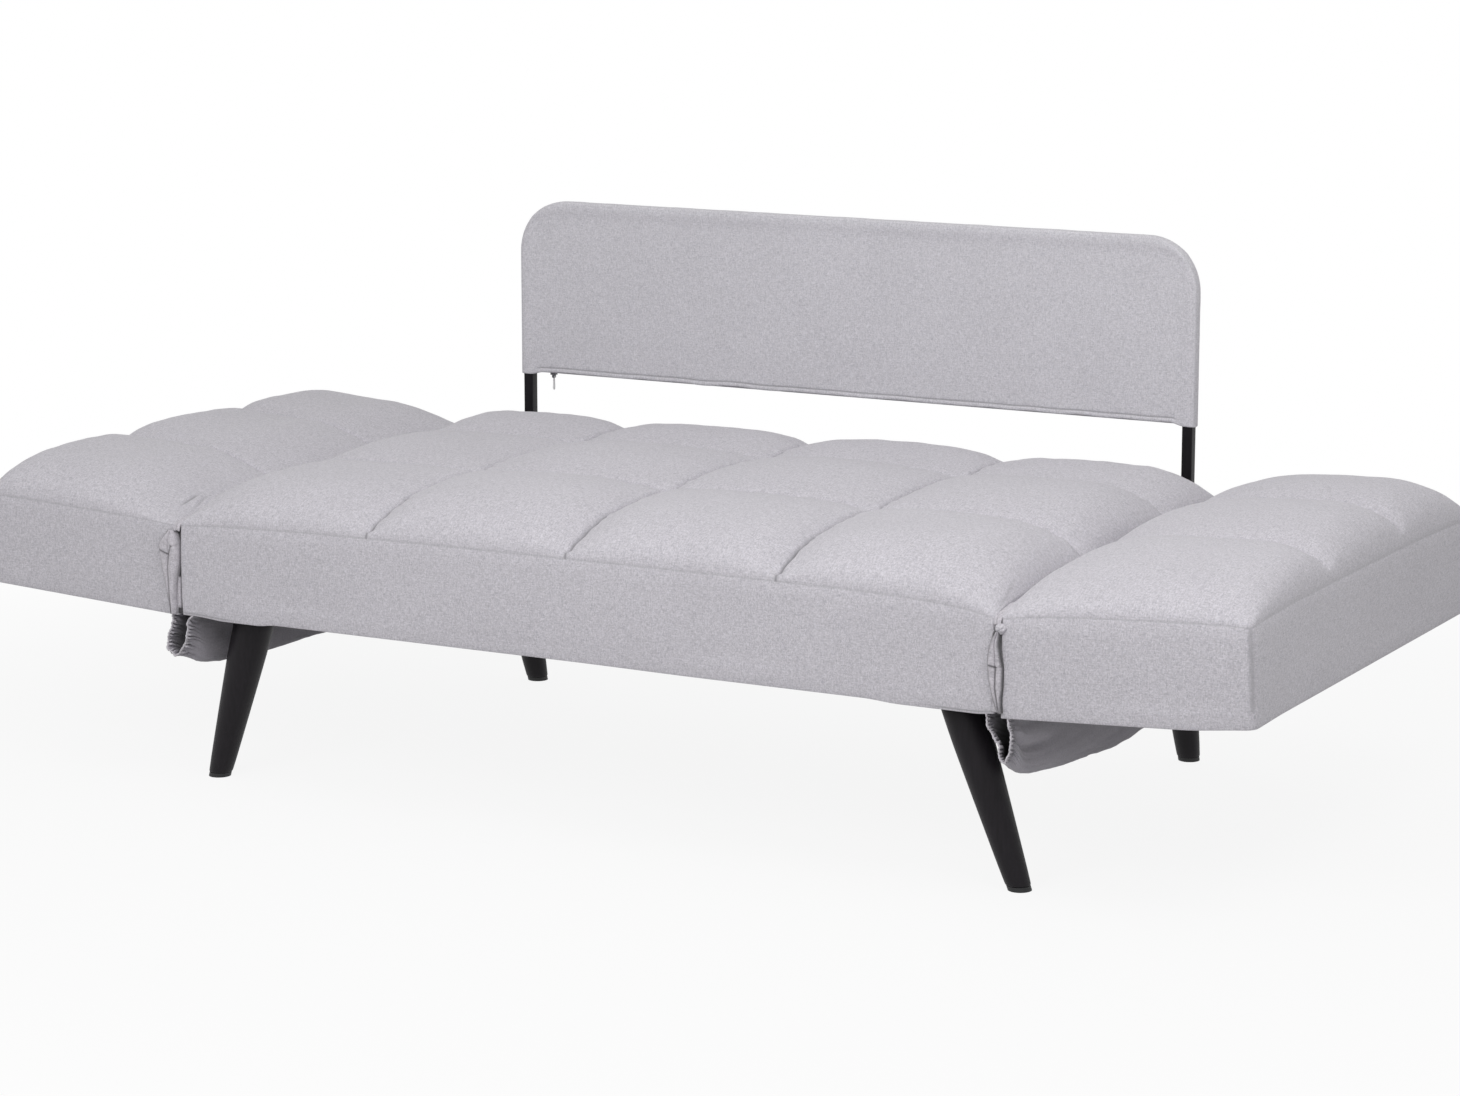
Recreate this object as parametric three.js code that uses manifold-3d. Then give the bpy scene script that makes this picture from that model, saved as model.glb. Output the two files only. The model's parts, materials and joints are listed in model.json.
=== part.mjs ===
// Click clack sofa bed: a tufted seat on four splayed legs, an arm hinged at each end of it,
// and a low backrest sleeve on a bent tube hoop. Millimetres, +Z up.
// X runs along the seat, -Y is the front, and the origin is on the floor under the middle.

import * as THREE from 'three';
import { mergeVertices } from 'three/addons/utils/BufferGeometryUtils.js';
import Module from 'manifold-3d';

// Overall sizes
const joint_spacing = 1200; // from one arm's hinge line to the other's
const arm_length = 320; // hinge line to outer end
const arm_depth = 800; // front to back
const rear_recess = 55; // how far the seat's rear face stands in front of the arms'
const underside_height = 237; // floor to the underside of the rails
const hinge_rise = 113; // underside to the hinge line
const arm_rest_tilt = 3; // degrees above level, with the arms let down
const joint_gap = 8; // between the end faces of seat and arm at the hinge line
const fit_gap = 0.3; // between pieces that touch
const cut_overrun = 5; // how far a cutter passes the surface it cuts

// Rails, decks and dust cloths
const rail_height = 34;
const rail_thickness = 25;
const middle_rail_thickness = 40;
const deck_thickness = 9;
const dust_cloth_thickness = 1.5;
const dust_cloth_inset = 10;

// Cushions
const outer_corner_radius = 24;
const joint_corner_radius = 8;
const corner_steps = 4;
const top_seam_rise = 17; // edge seam above the hinge line
const crown_rise = 50; // tufting seams above the edge seam
const tuft_rise = 16; // pads above the tufting seams
const edge_roll = 45; // distance over which the crown rises
const tuft_roll = 26; // distance over which a pad rises from a seam
const valley_slope = 0.97; // steepest slope of the crown at a joint
const side_bulge = 3;
const seam_side_width = 15; // first grid line beside a seam
const seat_columns = 4;
const pad_rows = 3;
const pad_divisions = 3; // cells across the middle of a pad
const wall_ring_shares = [2 / 3, 1 / 3]; // of the height of a cushion's side, where it bulges

// Legs
const leg_top_radius = 29;
const leg_foot_radius = 16;
const leg_sides = 24;
const glide_height = 6;
const glide_inset = 1;
const leg_plate_size = 64;
const leg_plate_thickness = 3;
const front_foot_x = 598;
const front_foot_setback = 76; // behind the front face
const front_leg_splay = 76; // foot out from top
const front_leg_rake = 19; // foot behind top
const rear_foot_x = 530;
const rear_foot_setback = 14; // in front of the arms' rear face
const rear_leg_rake = 76; // foot behind top

// Hinges
const hinge_setback = 130; // from the front face, and the same from the arms' rear face
const hinge_plate_thickness = 4;
const hinge_eye_radius = 9.5;
const hinge_pin_radius = 4;
const hinge_head_radius = 7;
const hinge_head_thickness = 2.5;
const hinge_foot_start = 8; // from the hinge line to the bracket's foot
const hinge_foot_length = 52;
const hinge_foot_width = 40;
const hinge_neck_rise = 16; // straight part of the web above the foot and below the eye
const hinge_slot_clearance = 3;
const hinge_sides = 20;

// Gussets
const gusset_thickness = 2;
const gusset_mouth_drop = 66; // below the underside, at the gathered ends
const left_gusset_sag = 20; // further down between the ends
const right_gusset_sag = 48;
const gusset_half_width = 15; // at the gathered ends
const gusset_swell = 5; // further out between the ends
const left_gusset_gather = 60; // distance from an end over which the loop opens
const right_gusset_gather = 150;
const gusset_setback = 2; // behind the front face
const gusset_steps = 20;
const gusset_rings = 12;
const pleat_reach = 3; // in front of the front face
const pleat_depth = 22; // behind the front face
const pleat_top_drop = 6; // below the hinge line
const pleat_thickness = 1.6;

// Backrest
const tube_size = 15;
const tube_wall = 1.5;
const hoop_inset = 73.5; // from a hinge line in to the middle of an upright tube
const hoop_top_height = 718.5; // middle of the top tube
const hoop_bend_radius = 65;
const bend_steps = 8;
const hoop_setback = 15.5; // between the seat's rear face and the tubes
const sleeve_thickness = 2.2;
const sleeve_bottom_height = 475;
const cross_tube_rise = 8; // above the inside of the sleeve's hem
const zip_width = 10;
const zip_height = 4;
const zip_drop = 1; // below the hem
const zip_end_gap = 10; // from the uprights
const slider_length = 8;
const slider_width = 7;
const slider_height = 3;
const slider_start = 23; // from the zip's end to the slider's middle
const cheek_thickness = 1.2;
const cheek_height = 4.2;
const cheek_length = 3.4;
const pull_pin_radius = 0.7;
const pull_clearance = 0.25;
const pull_eye_radius = 1.7;
const pull_width = 3;
const pull_neck = 1.2;
const pull_neck_drop = 3.4; // below the pull's pivot
const pull_tip = 2.4;
const pull_length = 20;
const pull_sides = 10;
const socket_wall = 4;
const socket_floor = 4;
const socket_plate_width = 52;
const socket_plate_thickness = 4;

// Places worked out from the sizes above
const front_y = -arm_depth / 2;
const arm_rear_y = arm_depth / 2;
const seat_rear_y = arm_rear_y - rear_recess;
const hinge_x = joint_spacing / 2;
const hinge_z = underside_height + hinge_rise;
const seat_end_x = hinge_x - joint_gap / 2;
const deck_rise = rail_height + fit_gap; // underside of the rails to that of the deck
const foam_rise = deck_rise + deck_thickness + fit_gap; // and to that of the foam
const plate_drop = fit_gap + dust_cloth_thickness + fit_gap; // and to the leg plates' top
const leg_plate_z = underside_height - plate_drop - leg_plate_thickness;
const tube_y = seat_rear_y + hoop_setback + tube_size / 2;
const sleeve_reach = tube_size / 2 + fit_gap + sleeve_thickness; // outside the tube's middle
const hoop_half_width = hinge_x - hoop_inset;
const quarter_turn = Math.PI / 2;
const arm_rest_angle = THREE.MathUtils.degToRad(arm_rest_tilt);

const wasm = await Module();
wasm.setup();

// Materials
const cover_fabric = new THREE.MeshStandardMaterial({ color: 0xc2bfc6, roughness: 0.95, metalness: 0 });
const gusset_fabric = new THREE.MeshStandardMaterial({ color: 0x9b979e, roughness: 0.9, metalness: 0 });
const dust_cloth = new THREE.MeshStandardMaterial({ color: 0x1c1c1e, roughness: 0.95, metalness: 0 });
const pad_foam = new THREE.MeshStandardMaterial({ color: 0xe4e0d4, roughness: 0.9, metalness: 0 });
const timber = new THREE.MeshStandardMaterial({ color: 0xb98f5f, roughness: 0.7, metalness: 0 });
const plywood = new THREE.MeshStandardMaterial({ color: 0xc9a578, roughness: 0.7, metalness: 0 });
const black_steel = new THREE.MeshStandardMaterial({ color: 0x232325, roughness: 0.45, metalness: 0.2 });
const black_wood = new THREE.MeshStandardMaterial({ color: 0x211f21, roughness: 0.4, metalness: 0 });
const black_plastic = new THREE.MeshStandardMaterial({ color: 0x101011, roughness: 0.6, metalness: 0 });
const zinc_steel = new THREE.MeshStandardMaterial({ color: 0x9a9ca0, roughness: 0.4, metalness: 0.9 });
const zip_plastic = new THREE.MeshStandardMaterial({ color: 0xa9a7ad, roughness: 0.6, metalness: 0 });

const sofa_bed = new THREE.Group();

function add_piece(parent, name, geometry, material) {
  const mesh = new THREE.Mesh(geometry, material);
  mesh.name = name;
  parent.add(mesh);
}

// Booleans on closed meshes
function solid_of(geometry) {
  const bare = geometry.clone();
  bare.deleteAttribute('normal');
  bare.deleteAttribute('uv');
  const merged = mergeVertices(bare);
  const vertProperties = new Float32Array(merged.attributes.position.array);
  const triVerts = new Uint32Array(merged.index.array);
  return new wasm.Manifold(new wasm.Mesh({ numProp: 3, vertProperties, triVerts }));
}

function geometry_of(solid) {
  const mesh = solid.getMesh();
  const geometry = new THREE.BufferGeometry();
  geometry.setAttribute('position', new THREE.BufferAttribute(new Float32Array(mesh.vertProperties), 3));
  geometry.setIndex(new THREE.BufferAttribute(new Uint32Array(mesh.triVerts), 1));
  geometry.computeVertexNormals();
  return geometry;
}

function cut(geometry, cutters) {
  const start = solid_of(geometry);
  return geometry_of(cutters.reduce((solid, cutter) => solid.subtract(solid_of(cutter)), start));
}

function join(geometries) {
  const solids = geometries.map(solid_of);
  return geometry_of(solids.reduce((all, solid) => all.add(solid)));
}

// A box between two opposite corners
function box(corner, opposite) {
  const size = corner.map((value, k) => Math.abs(opposite[k] - value));
  const middle = corner.map((value, k) => (opposite[k] + value) / 2);
  return new THREE.BoxGeometry(...size).translate(...middle);
}

// An outline extruded by a depth. Each arc in it gets arc_steps straight steps, because
// three.js gives an arc two for each of its curve segments.
function extruded(shape, depth, arc_steps) {
  return new THREE.ExtrudeGeometry(shape, { depth, bevelEnabled: false, curveSegments: arc_steps / 2 });
}

// An outline in X and Z, made solid along Y from y0 to y1
function plate_xz(shape, y0, y1, arc_steps) {
  return extruded(shape, y1 - y0, arc_steps).rotateX(quarter_turn).translate(0, y1, 0);
}

// An outline in X and Y, made solid along Z from z0 up to z1
function plate_xy(shape, z0, z1, arc_steps) {
  return extruded(shape, z1 - z0, arc_steps).translate(0, 0, z0);
}

// A rectangle with a corner radius at its low x end and another at its high x end
function rounded_plan(x0, x1, y0, y1, low_radius, high_radius) {
  const shape = new THREE.Shape();
  shape.absarc(x0 + low_radius, y1 - low_radius, low_radius, quarter_turn, 2 * quarter_turn);
  shape.absarc(x0 + low_radius, y0 + low_radius, low_radius, 2 * quarter_turn, 3 * quarter_turn);
  shape.absarc(x1 - high_radius, y0 + high_radius, high_radius, 3 * quarter_turn, 4 * quarter_turn);
  shape.absarc(x1 - high_radius, y1 - high_radius, high_radius, 0, quarter_turn);
  return shape;
}

// The timber frame, deck and dust cloth of a section of the bed. side_names are those
// of its sides at low x, high x, low y and high y.
function add_section(parent, name, side_names, x0, x1, y0, y1, z0, low_radius, high_radius) {
  const plan = rounded_plan(x0, x1, y0, y1, low_radius, high_radius);
  const rail_top = z0 + rail_height;
  const inner_low = y0 + rail_thickness;
  const inner_high = y1 - rail_thickness;
  const block = plate_xy(plan, z0, rail_top, corner_steps);
  const cut_away = (from_y, to_y) => box(
    [x0 - cut_overrun, from_y, z0 - cut_overrun],
    [x1 + cut_overrun, to_y, rail_top + cut_overrun],
  );
  const rail_y0 = inner_low + fit_gap;
  const rail_y1 = inner_high - fit_gap;
  const rails = [
    box([x0, rail_y0, z0], [x0 + rail_thickness, rail_y1, rail_top]),
    box([x1 - rail_thickness, rail_y0, z0], [x1, rail_y1, rail_top]),
    cut(block, [cut_away(inner_low, y1 + cut_overrun)]),
    cut(block, [cut_away(y0 - cut_overrun, inner_high)]),
  ];
  rails.forEach((rail, k) => add_piece(parent, `${name}_${side_names[k]}_rail`, rail, timber));
  const deck_z = z0 + deck_rise;
  const deck = plate_xy(plan, deck_z, deck_z + deck_thickness, corner_steps);
  add_piece(parent, `${name}_deck`, deck, plywood);
  const inset = dust_cloth_inset;
  const cloth_top = z0 - fit_gap;
  const cloth = box(
    [x0 + inset, y0 + inset, cloth_top - dust_cloth_thickness],
    [x1 - inset, y1 - inset, cloth_top],
  );
  add_piece(parent, `${name}_dust_cloth`, cloth, dust_cloth);
}

// Height of a cushion's top above the hinge line, from the distances to its joint, to
// its free edges and to its tufting seams
function crown_height(to_joint, to_edges, to_seams) {
  const rise = (places, roll) => places.reduce((share, d) => share * (1 - Math.exp(-d / roll)), 1);
  const crown = crown_rise + tuft_rise * rise(to_seams, tuft_roll);
  const full = top_seam_rise + crown * rise(to_edges, edge_roll);
  return full * Math.tanh((valley_slope * to_joint) / full);
}

// Grid lines across a row of pads, closer beside the ends and the sewn seams
function grid_lines(start, end, seams, start_radius, end_radius) {
  const stops = [start, ...seams, end];
  const lines = [start];
  for (let i = 0; i + 1 < stops.length; i += 1) {
    const at_start = i === 0;
    const at_end = i + 2 === stops.length;
    const lead = at_start ? [start_radius, start_radius + edge_roll] : [seam_side_width];
    const trail = at_end ? [end_radius + edge_roll, end_radius] : [seam_side_width];
    const first = stops[i] + lead[lead.length - 1];
    const last = stops[i + 1] - trail[0];
    lead.forEach((d) => lines.push(stops[i] + d));
    for (let k = 1; k < pad_divisions; k += 1) {
      lines.push(first + ((last - first) * k) / pad_divisions);
    }
    trail.forEach((d) => lines.push(stops[i + 1] - d));
    lines.push(stops[i + 1]);
  }
  return lines;
}

// A closed tufted cushion on a flat base. Its rim corners are drawn in to the corner
// radius at each end, and bulges says how far each side stands out halfway up: low x,
// high x, low y, high y.
function tufted_cushion(xs, ys, base_z, height_at, radii, bulges) {
  const nx = xs.length;
  const ny = ys.length;
  const positions = [];
  const triangles = [];
  const top = (i, j) => i * ny + j;
  const inward = (k, n) => Number(k === 0) - Number(k === n - 1);
  for (let i = 0; i < nx; i += 1) {
    for (let j = 0; j < ny; j += 1) {
      const corner = Math.abs(inward(i, nx) * inward(j, ny));
      const pull = corner * (i === 0 ? radii[0] : radii[1]) * (1 - Math.SQRT1_2);
      const x = xs[i] + pull * inward(i, nx);
      const y = ys[j] + pull * inward(j, ny);
      positions.push(x, y, height_at(xs[i], ys[j]));
    }
  }
  for (let i = 0; i + 1 < nx; i += 1) {
    for (let j = 0; j + 1 < ny; j += 1) {
      const [a, b, c, d] = [top(i, j), top(i + 1, j), top(i + 1, j + 1), top(i, j + 1)];
      const rising = i < nx / 2 === j < ny / 2;
      triangles.push(...(rising ? [a, b, d, b, c, d] : [a, b, c, a, c, d]));
    }
  }
  const rim = [];
  for (let i = 0; i < nx - 1; i += 1) rim.push([i, 0]);
  for (let j = 0; j < ny - 1; j += 1) rim.push([nx - 1, j]);
  for (let i = nx - 1; i > 0; i -= 1) rim.push([i, ny - 1]);
  for (let j = ny - 1; j > 0; j -= 1) rim.push([0, j]);
  const add_ring = (height_share, reach) => rim.map(([i, j]) => {
    const at = 3 * top(i, j);
    const out_x = Number(i === nx - 1) * bulges[1] - Number(i === 0) * bulges[0];
    const out_y = Number(j === ny - 1) * bulges[3] - Number(j === 0) * bulges[2];
    const z = base_z + (positions[at + 2] - base_z) * height_share;
    positions.push(positions[at] + out_x * reach, positions[at + 1] + out_y * reach, z);
    return positions.length / 3 - 1;
  });
  const rim_top = rim.map(([i, j]) => top(i, j));
  const rings = [rim_top, ...wall_ring_shares.map((share) => add_ring(share, 1)), add_ring(0, 0)];
  for (let r = 0; r + 1 < rings.length; r += 1) {
    for (let k = 0; k < rim.length; k += 1) {
      const next = (k + 1) % rim.length;
      const [a, b, c, d] = [rings[r][k], rings[r + 1][k], rings[r + 1][next], rings[r][next]];
      triangles.push(a, b, c, a, c, d);
    }
  }
  const base = rings[rings.length - 1];
  const outline = base.map((v) => new THREE.Vector2(positions[3 * v], positions[3 * v + 1]));
  for (const [a, b, c] of THREE.ShapeUtils.triangulateShape(outline, [])) {
    triangles.push(base[a], base[c], base[b]);
  }
  const geometry = new THREE.BufferGeometry();
  geometry.setAttribute('position', new THREE.BufferAttribute(new Float32Array(positions), 3));
  geometry.setIndex(triangles);
  return geometry;
}

const nearest = (value, places) => Math.min(...places.map((place) => Math.abs(value - place)));

function even_seams(start, end, count) {
  return Array.from({ length: count - 1 }, (_, k) => start + ((end - start) * (k + 1)) / count);
}

const column_seams = even_seams(-hinge_x, hinge_x, seat_columns);
const row_seams = even_seams(front_y, arm_rear_y, pad_rows);

// Where the parts of a hinge stand across Y: the seat's web, the arm's web inwards of
// it, the pin through both and the slot that holds them. side is -1 in front, 1 behind.
function hinge_stack(side) {
  const inward = -side;
  const seat_web = side * (arm_depth / 2 - hinge_setback);
  const arm_web = seat_web + inward * (hinge_plate_thickness + fit_gap);
  const pin_start = seat_web - inward * fit_gap;
  const pin_end = arm_web + inward * (hinge_plate_thickness + fit_gap);
  const head_start = pin_start - inward * hinge_head_thickness;
  const head_end = pin_end + inward * hinge_head_thickness;
  const clearance = inward * hinge_slot_clearance;
  const slot = [head_start - clearance, head_end + clearance];
  return { inward, seat_web, arm_web, pin_start, pin_end, head_start, head_end, slot };
}

const hinge_stacks = [hinge_stack(-1), hinge_stack(1)];
const bracket_foot_z = foam_rise - hinge_rise; // from the hinge line

// A hinge bracket: a foot on the deck, and a web that rises from it to the eye. The
// hinge line is at the origin and the foot lies towards +X. The web goes from web_y
// across in direction across, and the foot goes from foot_y in direction foot_side.
function hinge_bracket(web_y, across, foot_side) {
  const x0 = hinge_foot_start;
  const x1 = hinge_foot_start + hinge_foot_length;
  const eye_edge = hinge_eye_radius * Math.SQRT1_2;
  const shape = new THREE.Shape();
  shape.moveTo(x0, bracket_foot_z);
  shape.lineTo(x1, bracket_foot_z);
  shape.lineTo(x1, bracket_foot_z + hinge_neck_rise);
  shape.lineTo(eye_edge, eye_edge);
  shape.absarc(0, 0, hinge_eye_radius, quarter_turn / 2, 3.5 * quarter_turn);
  shape.lineTo(x0, -hinge_eye_radius - hinge_neck_rise);
  shape.closePath();
  const hole = new THREE.Path();
  hole.absarc(0, 0, hinge_pin_radius + fit_gap, 0, 4 * quarter_turn);
  shape.holes.push(hole);
  const web_end = web_y + across * hinge_plate_thickness;
  const web = plate_xz(shape, Math.min(web_y, web_end), Math.max(web_y, web_end), hinge_sides);
  const foot_y = foot_side === across ? web_y : web_end;
  const foot = box(
    [x0, foot_y, bracket_foot_z],
    [x1, foot_y + foot_side * hinge_foot_width, bracket_foot_z + hinge_plate_thickness],
  );
  return join([web, foot]);
}

// What a hinge takes out of the foam: a slot for the webs and a pocket for the foot
function hinge_cutters(slot, web_y, across, foot_side) {
  const x1 = hinge_foot_start + hinge_foot_length + hinge_slot_clearance;
  const below = bracket_foot_z - cut_overrun;
  const slot_top = hinge_eye_radius + hinge_slot_clearance;
  const web_slot = box([-cut_overrun, slot[0], below], [x1, slot[1], slot_top]);
  const foot_y = foot_side === across ? web_y : web_y + across * hinge_plate_thickness;
  const foot_end = foot_y + foot_side * (hinge_foot_width + hinge_slot_clearance);
  const pocket_top = bracket_foot_z + hinge_plate_thickness + hinge_slot_clearance;
  return [web_slot, box([-cut_overrun, foot_y, below], [x1, foot_end, pocket_top])];
}

// The rivet pin, with a head at each end
function hinge_pin(stack) {
  const ends = [stack.head_start, stack.pin_start, stack.pin_end, stack.head_end].sort((a, b) => a - b);
  const profile = [
    new THREE.Vector2(0, ends[0]),
    new THREE.Vector2(hinge_head_radius, ends[0]),
    new THREE.Vector2(hinge_head_radius, ends[1]),
    new THREE.Vector2(hinge_pin_radius, ends[1]),
    new THREE.Vector2(hinge_pin_radius, ends[2]),
    new THREE.Vector2(hinge_head_radius, ends[2]),
    new THREE.Vector2(hinge_head_radius, ends[3]),
    new THREE.Vector2(0, ends[3]),
  ];
  return new THREE.LatheGeometry(profile, hinge_sides);
}

// Seat: frame, tufted cushion, and the seat's half of each hinge with its pin
function add_seat() {
  const r = joint_corner_radius;
  const plan = [-seat_end_x, seat_end_x, front_y, seat_rear_y];
  add_section(sofa_bed, 'seat', ['left', 'right', 'front', 'rear'], ...plan, underside_height, r, r);
  const half = middle_rail_thickness / 2;
  const clear = rail_thickness + fit_gap;
  const middle = box(
    [-half, front_y + clear, underside_height],
    [half, seat_rear_y - clear, underside_height + rail_height],
  );
  add_piece(sofa_bed, 'seat_middle_rail', middle, timber);

  const xs = grid_lines(-seat_end_x, seat_end_x, column_seams, r, r);
  const ys = grid_lines(front_y, seat_rear_y, row_seams, r, r);
  const height_at = (x, y) => {
    const to_seams = [nearest(x, column_seams), nearest(y, row_seams)];
    return hinge_z + crown_height(seat_end_x - Math.abs(x), [y - front_y, seat_rear_y - y], to_seams);
  };
  const bulges = [0, 0, side_bulge, side_bulge];
  const foam = tufted_cushion(xs, ys, underside_height + foam_rise, height_at, [r, r], bulges);
  const cutters = [];
  for (const stack of hinge_stacks) {
    const { inward, seat_web, slot } = stack;
    const place = stack === hinge_stacks[0] ? 'front' : 'rear';
    const left = hinge_cutters(slot, seat_web, inward, -inward);
    const mirrored = hinge_cutters(slot.map((y) => -y), -seat_web, -inward, inward);
    const right = mirrored.map((cutter) => cutter.rotateZ(2 * quarter_turn));
    left.forEach((cutter) => cutters.push(cutter.translate(-hinge_x, 0, hinge_z)));
    right.forEach((cutter) => cutters.push(cutter.translate(hinge_x, 0, hinge_z)));
    const left_bracket = hinge_bracket(seat_web, inward, -inward).translate(-hinge_x, 0, hinge_z);
    const turned = hinge_bracket(-seat_web, -inward, inward).rotateZ(2 * quarter_turn);
    const right_bracket = turned.translate(hinge_x, 0, hinge_z);
    const left_pin = hinge_pin(stack).translate(-hinge_x, 0, hinge_z);
    const right_pin = hinge_pin(stack).translate(hinge_x, 0, hinge_z);
    add_piece(sofa_bed, `left_${place}_seat_bracket`, left_bracket, zinc_steel);
    add_piece(sofa_bed, `right_${place}_seat_bracket`, right_bracket, zinc_steel);
    add_piece(sofa_bed, `left_${place}_hinge_pin`, left_pin, zinc_steel);
    add_piece(sofa_bed, `right_${place}_hinge_pin`, right_pin, zinc_steel);
  }
  add_piece(sofa_bed, 'seat_cushion', cut(foam, cutters), cover_fabric);
}

// Arm: its group has the hinge line at its origin and +X outwards, so the left arm is
// the right one turned half round
function add_arm(name, side) {
  const arm = new THREE.Group();
  arm.position.set(side * hinge_x, 0, hinge_z);
  arm.rotation.set(0, -side * arm_rest_angle, side > 0 ? 0 : 2 * quarter_turn);
  sofa_bed.add(arm);
  const x0 = joint_gap / 2;
  const radii = [joint_corner_radius, outer_corner_radius];
  const low_and_high_y = side > 0 ? ['front', 'rear'] : ['rear', 'front'];
  const side_names = ['inner', 'outer', ...low_and_high_y];
  add_section(arm, name, side_names, x0, arm_length, front_y, arm_rear_y, -hinge_rise, ...radii);

  const xs = grid_lines(x0, arm_length, [], ...radii);
  const ys = grid_lines(front_y, arm_rear_y, row_seams, outer_corner_radius, outer_corner_radius);
  const height_at = (x, y) => {
    const to_edges = [y - front_y, arm_rear_y - y, arm_length - x];
    return crown_height(x - x0, to_edges, [nearest(y, row_seams)]);
  };
  const bulges = [0, side_bulge, side_bulge, side_bulge];
  const foam = tufted_cushion(xs, ys, bracket_foot_z, height_at, radii, bulges);
  const cutters = [];
  for (const stack of hinge_stacks) {
    const { inward, arm_web, slot } = stack;
    const place = low_and_high_y[hinge_stacks.indexOf(stack)];
    cutters.push(...hinge_cutters(slot, arm_web, inward, inward));
    const bracket = hinge_bracket(arm_web, inward, inward);
    add_piece(arm, `${name}_${place}_bracket`, bracket, zinc_steel);
  }
  add_piece(arm, `${name}_cushion`, cut(foam, cutters), cover_fabric);
}

// Leg: plate, slanted taper with level ends, and glide
function add_leg(name, foot_x, foot_y, top_x, top_y) {
  const top_z = leg_plate_z - fit_gap;
  const foot_z = glide_height + fit_gap;
  const slope = [(top_x - foot_x) / top_z, (top_y - foot_y) / top_z];
  const slant = new THREE.Matrix4().makeShear(0, 0, 0, 0, slope[0], slope[1]);
  const upright = (top_radius, foot_radius, z0, z1) => {
    const bar = new THREE.CylinderGeometry(top_radius, foot_radius, z1 - z0, leg_sides);
    bar.rotateX(quarter_turn).translate(0, 0, (z0 + z1) / 2);
    return bar.applyMatrix4(slant).translate(foot_x, foot_y, 0);
  };
  const glide_radius = leg_foot_radius - glide_inset;
  const leg = upright(leg_top_radius, leg_foot_radius, foot_z, top_z);
  const glide = upright(glide_radius, glide_radius, 0, glide_height);
  add_piece(sofa_bed, `${name}_leg`, leg, black_wood);
  add_piece(sofa_bed, `${name}_glide`, glide, black_plastic);
  const half = leg_plate_size / 2;
  const plate = box(
    [top_x - half, top_y - half, leg_plate_z],
    [top_x + half, top_y + half, leg_plate_z + leg_plate_thickness],
  );
  add_piece(sofa_bed, `${name}_leg_plate`, plate, black_steel);
}

function add_legs() {
  for (const [name, side] of [['left', -1], ['right', 1]]) {
    const front_x = side * front_foot_x;
    const front_foot_y = front_y + front_foot_setback;
    const front_top = [front_x - side * front_leg_splay, front_foot_y - front_leg_rake];
    add_leg(`${name}_front`, front_x, front_foot_y, ...front_top);
    const rear_x = side * rear_foot_x;
    const rear_foot_y = arm_rear_y - rear_foot_setback;
    add_leg(`${name}_rear`, rear_x, rear_foot_y, rear_x, rear_foot_y - rear_leg_rake);
  }
}

// A band of even thickness about a smooth line through points in a plane
function band_outline(points, thickness, steps) {
  const spline = new THREE.SplineCurve(points);
  const offset = (u, reach) => {
    const tangent = spline.getTangentAt(u);
    const normal = new THREE.Vector2(-tangent.y, tangent.x);
    return spline.getPointAt(u).addScaledVector(normal, reach);
  };
  const shares = Array.from({ length: steps + 1 }, (_, k) => k / steps);
  const one_side = shares.map((u) => offset(u, thickness / 2));
  const other_side = shares.reverse().map((u) => offset(u, -thickness / 2));
  return new THREE.Shape([...one_side, ...other_side]);
}

// Opens a gathered loop between its ends: it sags further and swells sideways, and most
// at its lowest
function open_loop(places, loop_front, centre_x, lip_z, low_z, sag, gather) {
  for (let i = 0; i < places.count; i += 1) {
    const from_end = Math.min(places.getY(i) - loop_front, seat_rear_y - places.getY(i));
    const opened = 1 - Math.exp(-from_end / gather);
    const hang = Math.max(0, lip_z - places.getZ(i)) / (lip_z - low_z);
    const outward = (places.getX(i) - centre_x) / gusset_half_width;
    places.setX(i, places.getX(i) + outward * gusset_swell * opened * hang);
    places.setZ(i, places.getZ(i) - sag * opened * hang);
  }
}

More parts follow.
